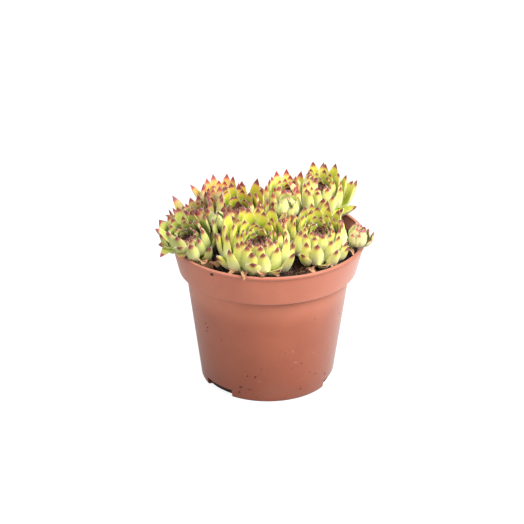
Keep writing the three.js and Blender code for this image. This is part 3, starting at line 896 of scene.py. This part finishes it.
# The section of a leaf goes across its inner face and back across its outer one. Points crowd towards the
# margins.
across = -np.cos(np.linspace(0, np.pi, LEAF_ACROSS))
SECTION_V = np.concatenate([across, across[::-1]])
SECTION_INNER = np.repeat([1.0, 0.0], LEAF_ACROSS)
MARGIN = 0.05  # half the thickness left at the margins, as a share of the leaf's
STATIONS = 1 - np.linspace(0.95, 0.0, LEAF_ALONG) ** 1.15
STATIONS[-1] = 0.995


def leaf_mesh(own, leaves, walls):
    """Points, faces and attributes of all the leaves: rings of the section along each leaf, and a cap of
    quads at each end that joins the inner face to the outer."""
    s = STATIONS[None, :, None]
    points = leaf_points(own, leaves, s, SECTION_V, SECTION_INNER)
    normal_step = leaf_points(own, leaves, s, 0 * SECTION_V, 1 + 0 * SECTION_V)
    thick = normal_step - leaf_points(own, leaves, s, 0 * SECTION_V, 0 * SECTION_V)
    points = points + thick * np.where(SECTION_INNER > 0, MARGIN, -MARGIN)[:, None]
    points = pressed(points, walls)
    count, rows, n = points.shape[:3]
    index = np.arange(count * rows * n).reshape(count, rows, n)
    nxt = np.roll(index, -1, axis=2)
    faces = [cells(index, nxt).reshape(-1, 4)]
    j = np.arange(LEAF_ACROSS - 1)
    cap = np.stack([j, j + 1, n - 2 - j, n - 1 - j])
    faces += [index[:, row][:, cap].transpose(0, 2, 1).reshape(-1, 4) for row in (0, -1)]
    tone = (np.arange(count) * 0.618034 % 1)[:, None, None]
    values = {
        "along": s, "across": SECTION_V, "inner": SECTION_INNER, "age": leaves["t"], "dry": leaves["dry"],
        "tone": tone,
    }
    attributes = {key: np.broadcast_to(value, (count, rows, n)).ravel() for key, value in values.items()}
    return points.reshape(-1, 3), faces, attributes


def stalk_mesh(rings):
    """Points and faces of a tube through rings of points (rows, sides, 3), closed by a point at each end."""
    rows, sides = rings.shape[:2]
    ends = rings[[0, -1]].mean(1)
    points = np.concatenate([rings.reshape(-1, 3), ends])
    index = np.arange(rows * sides).reshape(rows, sides)
    nxt = np.roll(index, -1, axis=1)
    walls = cells(index[None], nxt[None]).reshape(-1, 4)
    low = np.stack([nxt[0], index[0], np.full(sides, rows * sides)], -1)
    high = np.stack([index[-1], nxt[-1], np.full(sides, rows * sides + 1)], -1)
    return points, [walls, low, high]


# Heights above the crown and radii of the core, at size 1.
CORE_CORNERS = [(-0.0022, 0.0001), (-0.0014, 0.0052), (0.0022, 0.0062), (0.0056, 0.0050), (0.0074, 0.0001)]
CORE_ROUNDING = 0.001
STEM_SIDES = 20
STEM_RINGS = 8
STEM_ROOT, STEM_TOP, STEM_INWARD, STEM_ROOT_HEIGHT = 0.0017, 0.0024, 0.86, 0.069
STEM_INTO_CORE = 0.002


def round_axis(own):
    """Steps of length 1 away from a rosette's axis, evenly spaced round it."""
    a = np.linspace(0, 2 * np.pi, STEM_SIDES, endpoint=False)
    return np.cos(a)[:, None] * own["across"] + np.sin(a)[:, None] * own["over"]


def core_rings(own):
    """The core that the leaves grow from, turned round the rosette's axis and drawn out down the stem by the
    rise."""
    profile = rounded(CORE_CORNERS, CORE_ROUNDING)
    heights = profile[:, 0] * own["size"] - np.where(profile[:, 0] < 0, own["rise"], 0)
    middle = own["crown"] + heights[:, None] * own["up"]
    return middle[:, None] + (profile[:, 1] * own["size"])[:, None, None] * round_axis(own)


def stem_rings(own):
    """The stem of a hen, from its root in the soil, nearer to the middle of the pot, up into the core."""
    t = np.linspace(0, 1, STEM_RINGS)[:, None, None]
    root = own["crown"] * np.array([STEM_INWARD, STEM_INWARD, 0]) + np.array([0, 0, STEM_ROOT_HEIGHT])
    top = own["crown"] + own["up"] * STEM_INTO_CORE * own["size"]
    thickness = STEM_ROOT + (STEM_TOP * own["size"] - STEM_ROOT) * t
    return root + (top - root) * t + round_axis(own) * thickness


RUNNER_RADIUS = 0.0011
RUNNER_SIDES = 12
RUNNER_STEPS = 8


def runner_rings(own):
    """The runner of a chick: a tube along a smooth curve through its points, in pieces of cubic spline whose
    tangent at each point is half the step between its neighbours."""
    p = np.array([*own["runner"], own["crown"]])
    padded = np.concatenate([2 * p[:1] - p[1:2], p, 2 * p[-1:] - p[-2:-1]])
    t = np.linspace(0, 1, RUNNER_STEPS, endpoint=False)[:, None]
    pieces = []
    for a, b, c, d in zip(padded, padded[1:], padded[2:], padded[3:]):
        pieces.append(b + 0.5 * t * (c - a + t * (2 * a - 5 * b + 4 * c - d + t * (3 * (b - c) + d - a))))
    line = np.concatenate([*pieces, p[-1:]])
    tangent = unit_rows(np.gradient(line, axis=0))
    side = unit_rows(np.cross(tangent, [0.2, 1.0, 0.1]))
    other = np.cross(tangent, side)
    a = np.linspace(0, 2 * np.pi, RUNNER_SIDES, endpoint=False)[None, :, None]
    return line[:, None] + RUNNER_RADIUS * (np.cos(a) * side[:, None] + np.sin(a) * other[:, None])


def joined(parts):
    """The points, face arrays and attributes of several parts as one, with the later faces renumbered."""
    counts = [len(points) for points, _, _ in parts]
    starts = np.cumsum([0, *counts])
    points = np.concatenate([points for points, _, _ in parts])
    faces = [block + start for start, (_, blocks, _) in zip(starts, parts) for block in blocks]
    attributes = {}
    for key in parts[0][2]:
        attributes[key] = np.concatenate([np.broadcast_to(part[2][key], len(part[0])) for part in parts])
    return points, faces, attributes


HAIRS = 22  # along each margin of a leaf
HAIR_LENGTH = 0.0009
HAIR_ROOT = 0.00006
HAIR_SUNK = 0.0001
HAIR_FORWARD = 0.6
HAIR_DISORDER = 0.25
LONG_LEAF = 0.03
HAIRLESS_FROM = 0.8


def hair_mesh(own, leaves, walls, random):
    """The fringe of white hairs on the leaves' margins. Each hair is a three-sided spike that points out
    from the margin and forward along it."""
    s = np.linspace(0.3, 0.97, HAIRS)[None, :, None]
    v = np.array([-1.0, 1.0])
    inner = np.ones(2)
    root = pressed(leaf_points(own, leaves, s, v, inner), walls)
    ahead = unit_rows(pressed(leaf_points(own, leaves, s + 0.02, v, inner), walls) - root)
    out = unit_rows(root - pressed(leaf_points(own, leaves, s, 0 * v, inner), walls))
    fresh = (leaves["dry"] < 0.5) & (leaves["t"] < HAIRLESS_FROM)
    fresh = np.broadcast_to(fresh, root.shape[:3]).ravel()
    size = 0.5 + 0.5 * leaves["length"] / LONG_LEAF
    size = np.broadcast_to(size, root.shape[:3]).ravel()[fresh]
    root, out, ahead = (a.reshape(-1, 3)[fresh] for a in (root, out, ahead))
    disorder = random.normal(scale=HAIR_DISORDER, size=root.shape)
    heading = unit_rows(out + HAIR_FORWARD * ahead + disorder)
    length = HAIR_LENGTH * size * random.uniform(0.6, 1.3, len(root))
    side = unit_rows(np.cross(heading, ahead))
    other = np.cross(heading, side)
    a = np.arange(3) * 2 * np.pi / 3
    spread = np.cos(a)[:, None] * side[:, None] + np.sin(a)[:, None] * other[:, None]
    base = root[:, None] + HAIR_ROOT * spread
    base -= heading[:, None] * HAIR_SUNK
    tip = root + heading * length[:, None]
    points = np.concatenate([base, tip[:, None]], axis=1)
    faces = np.array([[0, 1, 3], [1, 2, 3], [2, 0, 3], [2, 1, 0]])
    all_faces = faces + (np.arange(len(root)) * 4)[:, None, None]
    return points.reshape(-1, 3), [all_faces.reshape(-1, 3)]


def leaf_colour_group():
    """The group that colours every leaf. Pale at the foot of the outer face and deeper green low on the inner
    one, less so on the lowest leaves, it flushes towards the tip, along the margins first, and ends in a dark
    point. In the bud the point is longer."""
    floats = ("Along", "Across", "Inner", "Age", "Tone", "Dryness", "Cloud", "Fine", "Flush", "Tip Start")
    colours = ("Body", "Pale", "Deep", "Blush", "Point", "Bud Point", "Dry")
    group, given, result = new_group(
        "leaf_colour",
        {"NodeSocketFloat": floats, "NodeSocketColor": colours},
        {"NodeSocketColor": ("Color",)},
    )
    bud = step(group, given["Age"], 0.68, 0.98)
    edge = times(group, given["Across"], given["Across"])
    wobble = number(group, "MULTIPLY_ADD", given["Cloud"], 0.08, -0.04)
    wobble = number(group, "ADD", wobble, number(group, "MULTIPLY_ADD", given["Fine"], 0.06, -0.03))
    place = number(group, "ADD", given["Along"], wobble)
    start = number(group, "MULTIPLY_ADD", bud, -0.2, given["Tip Start"])
    tip = step(group, place, number(group, "SUBTRACT", start, 0.035), number(group, "ADD", start, 0.03))
    flush = step(group, place, number(group, "SUBTRACT", start, 0.07), start)
    margin = times(group, step(group, edge, 0.75, 1.0), step(group, given["Along"], 0.45, 0.85))
    flush = number(group, "MAXIMUM", flush, times(group, margin, 0.35))
    flush = times(group, flush, given["Flush"])
    rim = times(group, step(group, edge, 0.6, 0.95), 0.45)
    outer = number(group, "SUBTRACT", 1.0, given["Inner"])
    pale = times(group, times(group, outer, fade(group, place, 0.5, 0.98)), 0.85)
    deep = times(group, given["Inner"], fade(group, place, 0.5, 0.86))
    grown = number(group, "MULTIPLY_ADD", step(group, given["Age"], 0.05, 0.4), 0.7, 0.3)
    deep = times(group, times(group, deep, grown), 0.85)
    deep = number(group, "MAXIMUM", deep, times(group, bud, 0.6))
    colour = blended(group, deep, given["Body"], given["Deep"])
    colour = blended(group, number(group, "MAXIMUM", pale, rim), colour, given["Pale"])
    colour = blended(group, flush, colour, given["Blush"])
    point = blended(group, bud, given["Point"], given["Bud Point"])
    colour = blended(group, times(group, tip, 0.94), colour, point)
    shade = number(group, "MULTIPLY_ADD", given["Tone"], 0.16, 0.9)
    shade = number(group, "MULTIPLY_ADD", given["Fine"], 0.12, shade)
    shade = number(group, "SUBTRACT", shade, 0.05)
    grey = node(group, "ShaderNodeCombineColor", Red=shade, Green=shade, Blue=shade)
    colour = blended(group, 1.0, colour, grey.outputs[0], "MULTIPLY")
    dry = blended(group, given["Cloud"], given["Dry"], (0.09, 0.045, 0.022, 1))
    wilted = times(group, given["Dryness"], step(group, place, 0.15, 0.75))
    group.links.new(blended(group, wilted, colour, dry), result["Color"])
    return group


LEAF_COLOUR = leaf_colour_group()


def leaf_skin(name, body, pale, deep, blush, point, bud_point, flush, tip_start, dry=(176, 134, 94)):
    """Leaf skin: fleshy and a little translucent, with a dull wax bloom and faint veins along it."""
    made, tree, surface, place = material(name)
    cloud = mottle(tree, place, 160.0)
    given = {}
    for attribute in ("along", "across", "inner", "age", "tone", "dry"):
        given[attribute] = node(tree, "ShaderNodeAttribute", attribute_name=attribute).outputs["Fac"]
    leaf = node(
        tree,
        "ShaderNodeGroup",
        node_tree=LEAF_COLOUR,
        Along=given["along"],
        Across=given["across"],
        Inner=given["inner"],
        Age=given["age"],
        Tone=given["tone"],
        Dryness=given["dry"],
        Cloud=cloud["Coarse"],
        Fine=cloud["Fine"],
        Flush=flush,
        Tip_Start=tip_start,
        Body=srgb(*body),
        Pale=srgb(*pale),
        Deep=srgb(*deep),
        Blush=srgb(*blush),
        Point=srgb(*point),
        Bud_Point=srgb(*bud_point),
        Dry=srgb(*dry),
    )
    veins = number(tree, "SINE", times(tree, given["across"], 26.0))
    feed(
        tree,
        surface,
        Base_Color=leaf.outputs["Color"],
        Roughness=number(tree, "MULTIPLY_ADD", cloud["Fine"], 0.18, 0.36),
        Normal=bumps(tree, number(tree, "MULTIPLY_ADD", veins, 0.12, cloud["Fine"]), 0.25, 0.0003),
        Subsurface_Weight=0.18,
        Subsurface_Radius=(1.0, 0.7, 0.2),
        Subsurface_Scale=0.0015,
        Sheen_Weight=0.12,
        Sheen_Roughness=0.4,
        Specular_IOR_Level=0.4,
    )
    return made


def leaf_hair():
    """Leaf hair: colourless and glassy, so white in a fringe."""
    made, tree, surface, place = material("leaf_hair")
    cloud = mottle(tree, place, 300.0)
    colour = blended(tree, cloud["Coarse"], srgb(236, 238, 216), srgb(252, 252, 244))
    feed(tree, surface, Base_Color=colour, Roughness=0.35)
    return made


LEAF_HAIR = leaf_hair()
STALK = {"along": 0.0, "across": 0.0, "inner": 0.0, "dry": 0.0, "tone": 0.4}


def grow(own, everyone, skin, seed):
    """Makes the two pieces of a rosette, its fused leaves, core and stem or runner, and its fringe of
    hairs."""
    walls = fences(own, everyone)
    leaves = rosette_leaves(own, walls)
    stalk = runner_rings(own) if own["runner"] else stem_rings(own)
    parts = [leaf_mesh(own, leaves, walls)]
    parts.append((*stalk_mesh(core_rings(own)), {**STALK, "age": 1.0}))
    parts.append((*stalk_mesh(stalk), {**STALK, "age": 0.0}))
    points, faces, attributes = joined(parts)
    plant = mesh_object(own["name"] + "_leaves", points, faces, attributes, sharp=60, slots=[skin])
    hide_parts(own["name"])
    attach(plant, "root")
    hair_points, hair_faces = hair_mesh(own, leaves, walls, np.random.default_rng(seed))
    hairs = mesh_object(own["name"] + "_hairs", hair_points, hair_faces, sharp=80, slots=[LEAF_HAIR])
    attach(hairs, "root")


# ---------------------------------------------------------------- the hens
# Eight full rosettes crowd the pot: three across the front, one behind them at the left, one over the pot's
# left side and three along the back. Dying leaves lie flat under the front ones.

HENS = [
    rosette("hen_front", 50, 20, (-0.0052, -0.0266, 0.0824), (0, -1), 19, 1.0, 0.002),
    rosette("hen_front_left", 38, 75, (-0.0414, -0.0182, 0.0824), (-0.5, -0.87), 26, 0.78, 0.001,
            old=((-140, 0.022, 98, 0.0), (-100, 0.019, 98, 0.6), (-55, 0.018, 98, 1.0))),
    rosette("hen_front_right", 43, 140, (0.0264, -0.0190, 0.0856), (0.1, -1), 19, 0.88, 0.005,
            old=((-20, 0.018, 110, 0.8), (-60, 0.017, 110, 1.0))),
    rosette("hen_middle_left", 30, 260, (-0.0159, 0.0151, 0.0838), (0, -1), 16, 0.84, 0.002, open_by=4),
    rosette("hen_left", 25, 35, (-0.0370, 0.0125, 0.0834), (-1, 0.1), 15, 0.66, 0.002, open_by=12),
    rosette("hen_back_left", 24, 110, (-0.0260, 0.0340, 0.0838), (-0.3, 1), 6, 0.70, 0.002, open_by=6),
    rosette("hen_back", 27, 320, (0.0110, 0.0310, 0.0876), (0, -1), 8, 0.75, 0.005, open_by=4),
    rosette("hen_back_right", 36, 200, (0.0274, 0.0300, 0.0900), (0, -1), 14, 0.86, 0.006, open_by=6),
]

# ---------------------------------------------------------------- the chicks
# Four young rosettes on runners: two are still closed balls, one is narrow and half open, and one lies on
# the bead.

CHICKS = [
    rosette("chick_left", 12, 10, (-0.0268, -0.0030, 0.0886), (0, -1), 20, 0.36, open_by=-38, stand=40,
            plump=PLUMP, fill_from=0.0,
            runner=[(-0.022, -0.0015, 0.070), (-0.022, -0.0015, 0.078), (-0.024, -0.002, 0.085)]),
    rosette("chick_middle", 14, 50, (0.0100, 0.0106, 0.0892), (0, -1), 18, 0.47, open_by=-38, stand=45,
            plump=PLUMP, fill_from=0.0,
            runner=[(0.008, 0.009, 0.070), (0.008, 0.009, 0.078), (0.009, 0.010, 0.084)]),
    rosette("chick_front", 10, 80, (0.0114, -0.0026, 0.0875), (0, -1), 6, 0.44, 0.001, open_by=-28,
            plump=PLUMP,
            runner=[(0.011, 0.0, 0.070), (0.011, 0.0, 0.076), (0.0112, -0.002, 0.083)]),
    rosette("chick_right", 15, 90, (0.0468, -0.0168, 0.0848), (0.8, -0.5), 18, 0.42, open_by=-30, stand=32,
            plump=PLUMP, fill_from=0.0,
            runner=[(0.040, -0.014, 0.070), (0.040, -0.014, 0.078), (0.043, -0.0156, 0.083)]),
]

LIME = {"body": (212, 212, 84), "pale": (221, 224, 184), "deep": (174, 198, 62), "blush": (214, 132, 104),
        "point": (124, 52, 60), "bud_point": (74, 38, 40)}
SKINS = {
    "hen_front": {"flush": 0.55, "tip_start": 0.905},
    "hen_front_left": {"flush": 0.7, "tip_start": 0.89, "body": (172, 178, 86), "deep": (112, 134, 56),
                       "pale": (220, 224, 156), "blush": (186, 116, 104), "bud_point": (64, 26, 36)},
    "hen_front_right": {"flush": 0.55, "tip_start": 0.905},
    "hen_middle_left": {"flush": 0.85, "tip_start": 0.875, "body": (210, 198, 70), "deep": (156, 182, 46)},
    "hen_left": {"flush": 0.9, "tip_start": 0.86, "body": (160, 142, 68), "pale": (150, 140, 76),
                 "deep": (122, 126, 44), "blush": (176, 92, 70), "point": (112, 46, 52)},
    "hen_back_left": {"flush": 1.0, "tip_start": 0.87, "body": (212, 172, 82), "blush": (222, 124, 80),
                      "point": (142, 60, 60)},
    "hen_back": {"flush": 1.0, "tip_start": 0.88, "body": (228, 222, 108), "blush": (222, 136, 100),
                 "point": (150, 60, 62)},
    "hen_back_right": {"flush": 0.65, "tip_start": 0.9},
}
everyone = HENS + CHICKS
for seed, hen in enumerate(HENS):
    skin = leaf_skin(hen["name"] + "_skin", **{**LIME, **SKINS[hen["name"]]})
    grow(hen, everyone, skin, 100 + seed)

CHICK_SKINS = {
    "chick_left": {"body": (178, 184, 104), "pale": (194, 200, 132), "deep": (158, 178, 84),
                   "blush": (196, 140, 108), "point": (128, 66, 64), "bud_point": (128, 66, 64), "flush": 0.5,
                   "tip_start": 0.94},
    "chick_middle": {"body": (210, 214, 122), "pale": (220, 226, 160), "deep": (190, 206, 104),
                     "blush": (222, 166, 126), "point": (190, 104, 92), "bud_point": (186, 100, 86),
                     "flush": 0.7, "tip_start": 0.935},
    "chick_front": {"body": (214, 200, 88), "pale": (222, 214, 140), "deep": (190, 186, 70),
                    "blush": (222, 140, 80), "point": (196, 90, 60), "bud_point": (190, 96, 70), "flush": 0.9,
                    "tip_start": 0.9},
    "chick_right": {"body": (196, 188, 120), "pale": (208, 204, 150), "deep": (180, 184, 98),
                    "blush": (216, 136, 118), "point": (160, 80, 84), "bud_point": (146, 80, 78),
                    "flush": 1.0, "tip_start": 0.885},
}
for seed, chick in enumerate(CHICKS):
    skin = leaf_skin(chick["name"] + "_skin", **CHICK_SKINS[chick["name"]])
    grow(chick, everyone, skin, 200 + seed)

# ---------------------------------------------------------------- papery old leaves
# Leaves that have dried to thin tan paper lie between the front rosettes and the bead, and hang a little
# over it.

PAPER_HALF_THICKNESS = 0.00012
PAPER_ROWS = 16
PAPER_ACROSS = 9

# Start, end, half width and arch of each, in millimetres.
PAPERY = (
    ((-11, -44, 80.6), (-12.2, -53.2, 81.4), 1.7, 2.4),
    ((-4, -44, 80.6), (-2.6, -51.8, 82.8), 2.0, 1.2),
    ((1.5, -44, 80.4), (5.5, -49.6, 82.0), 1.8, 0.8),
    ((-15, -42, 80.4), (-19.6, -47.6, 82.0), 2.0, 1.0),
    ((-38, -28, 81.6), (-40, -33.0, 83.4), 2.0, 1.0),
    ((-34, -31, 81.0), (-33, -38.2, 83.0), 2.2, 0.8),
    ((-30, -33, 80.6), (-25.6, -39.4, 82.0), 2.0, 1.2),
    ((41, -18, 81), (45.0, -23.4, 82.0), 1.1, 2.0),
    ((20, -38, 80.0), (24, -43.0, 80.6), 1.9, 1.2),
    ((29, -34, 80.0), (34.0, -36.4, 80.8), 1.7, 1.4),
)


def papery_rings(start, end, half_width, arch):
    """Rings round a thin curled strip from start to end. It arches by a half sine wave and is widest in its
    middle. A sine wave makes its margins ragged, they curl up by the square of the distance from its middle
    line, and two smaller waves crumple it."""
    start, end = np.array(start) / 1000, np.array(end) / 1000
    u = np.linspace(0, 1, PAPER_ROWS)[:, None]
    line = start + (end - start) * u + np.array([0, 0, arch / 1000]) * np.sin(np.pi * u)
    side = unit(np.cross(end - start, [0, 0, 1]))
    v = np.concatenate([np.linspace(-1, 1, PAPER_ACROSS), np.linspace(1, -1, PAPER_ACROSS)])
    face = np.repeat([1.0, -1.0], PAPER_ACROSS)
    ragged = 1 + 0.3 * np.sin(15 * u + 2 * v + 1000 * start[0])
    half = half_width / 1000 * (0.2 + 0.8 * np.sin(np.pi * (0.06 + 0.88 * u))) * ragged
    lift = 0.5 * half * v**2
    lift = lift + 0.0004 * np.sin(8 * u + 4 * v)
    lift = lift + 0.0002 * np.sin(19 * u - 7 * v)
    lift = lift + face * PAPER_HALF_THICKNESS
    return line[:, None] + (half * v)[..., None] * side + lift[..., None] * np.array([0, 0, 1])


def dry_leaf():
    """Dry leaf: tan paper with brown blotches and a fine grain."""
    made, tree, surface, place = material("dry_leaf")
    cloud = mottle(tree, place, 260.0)
    colour = blended(tree, step(tree, cloud["Coarse"], 0.4, 0.65), srgb(206, 158, 118), srgb(150, 100, 66))
    feed(
        tree,
        surface,
        Base_Color=blended(tree, times(tree, cloud["Fine"], 0.5), colour, srgb(104, 66, 44)),
        Roughness=number(tree, "MULTIPLY_ADD", cloud["Fine"], 0.2, 0.55),
        Normal=bumps(tree, cloud["Fine"], 0.4, 0.0002),
        Sheen_Weight=0.15,
    )
    return made


papery = [(*stalk_mesh(papery_rings(*values)), {}) for values in PAPERY]
papery_points, papery_faces, _ = joined(papery)
papery_leaves = mesh_object("papery_old_leaves", papery_points, papery_faces, sharp=60, slots=[dry_leaf()])
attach(papery_leaves, "root")

# ---------------------------------------------------------------- floor, light and camera
# A pale seamless floor, one large soft lamp high on the right, a weak one on the left, and white light all
# round.

FLOOR_GLOW = 0.85

floor_mesh = bpy.data.meshes.new("floor")
floor_mesh.from_pydata([(-3, -3, 0), (3, -3, 0), (3, 3, 0), (-3, 3, 0)], [], [(0, 1, 2, 3)])
floor = bpy.data.objects.new("floor", floor_mesh)
bpy.context.scene.collection.objects.link(floor)
paper, tree, surface, place = material("pale_floor")
cloud = mottle(tree, place, 3.0)
seen = node(tree, "ShaderNodeLightPath").outputs["Is Camera Ray"]
feed(
    tree,
    surface,
    Base_Color=blended(tree, cloud["Coarse"], srgb(120, 120, 120), srgb(130, 130, 130)),
    Roughness=0.9,
    Emission_Color=(1, 1, 1, 1),
    Emission_Strength=times(tree, seen, FLOOR_GLOW),
)
floor_mesh.materials.append(paper)

world = bpy.data.worlds.new("studio")
bpy.context.scene.world = world
world.use_nodes = True
feed(world.node_tree, world.node_tree.nodes["Background"], Color=(1, 1, 1, 1), Strength=1.0)
AIM = Vector((0, 0, 0.06))


def softbox(name, place, size, watts):
    """A square soft lamp that faces the plant."""
    lamp = bpy.data.lights.new(name, "AREA")
    lamp.shape = "SQUARE"
    lamp.size = size
    lamp.energy = watts
    made = bpy.data.objects.new(name, lamp)
    made.location = place
    made.rotation_euler = (AIM - made.location).to_track_quat("-Z", "Y").to_euler()
    bpy.context.scene.collection.objects.link(made)


softbox("key", Vector((0.7, -0.5, 0.85)), 0.7, 25.0)
softbox("fill", Vector((-0.8, -0.5, 0.4)), 0.8, 3.0)

CAMERA_DISTANCE = 1.05
CAMERA_ELEVATION = 0.47  # radians
CAMERA_ROLL = 0.0058
PIXELS = 524
FOCAL_PIXELS = 1931.0
POT_MIDDLE = Vector((0, 0, 0.0409))
POT_MIDDLE_PIXEL = (267.6, 303.8)
SENSOR = 36.0

back = Vector((0, -math.cos(CAMERA_ELEVATION), math.sin(CAMERA_ELEVATION)))
lens = bpy.data.cameras.new("camera")
lens.sensor_width = SENSOR
lens.lens = FOCAL_PIXELS / PIXELS * SENSOR
camera = bpy.data.objects.new("camera", lens)
bpy.context.scene.collection.objects.link(camera)
right = Vector((1, 0, 0))
upward = back.cross(right)
swing_right = -math.atan((POT_MIDDLE_PIXEL[0] - PIXELS / 2) / FOCAL_PIXELS)
swing_up = math.atan((POT_MIDDLE_PIXEL[1] - PIXELS / 2) / FOCAL_PIXELS)
facing = Matrix((right, upward, back)).transposed()
facing = facing @ Matrix.Rotation(CAMERA_ROLL, 3, "Z")
facing = facing @ Matrix.Rotation(-swing_right, 3, "Y") @ Matrix.Rotation(swing_up, 3, "X")
camera.matrix_world = Matrix.Translation(POT_MIDDLE + CAMERA_DISTANCE * back) @ facing.to_4x4()
bpy.context.scene.camera = camera
bpy.context.scene.view_settings.view_transform = "Standard"
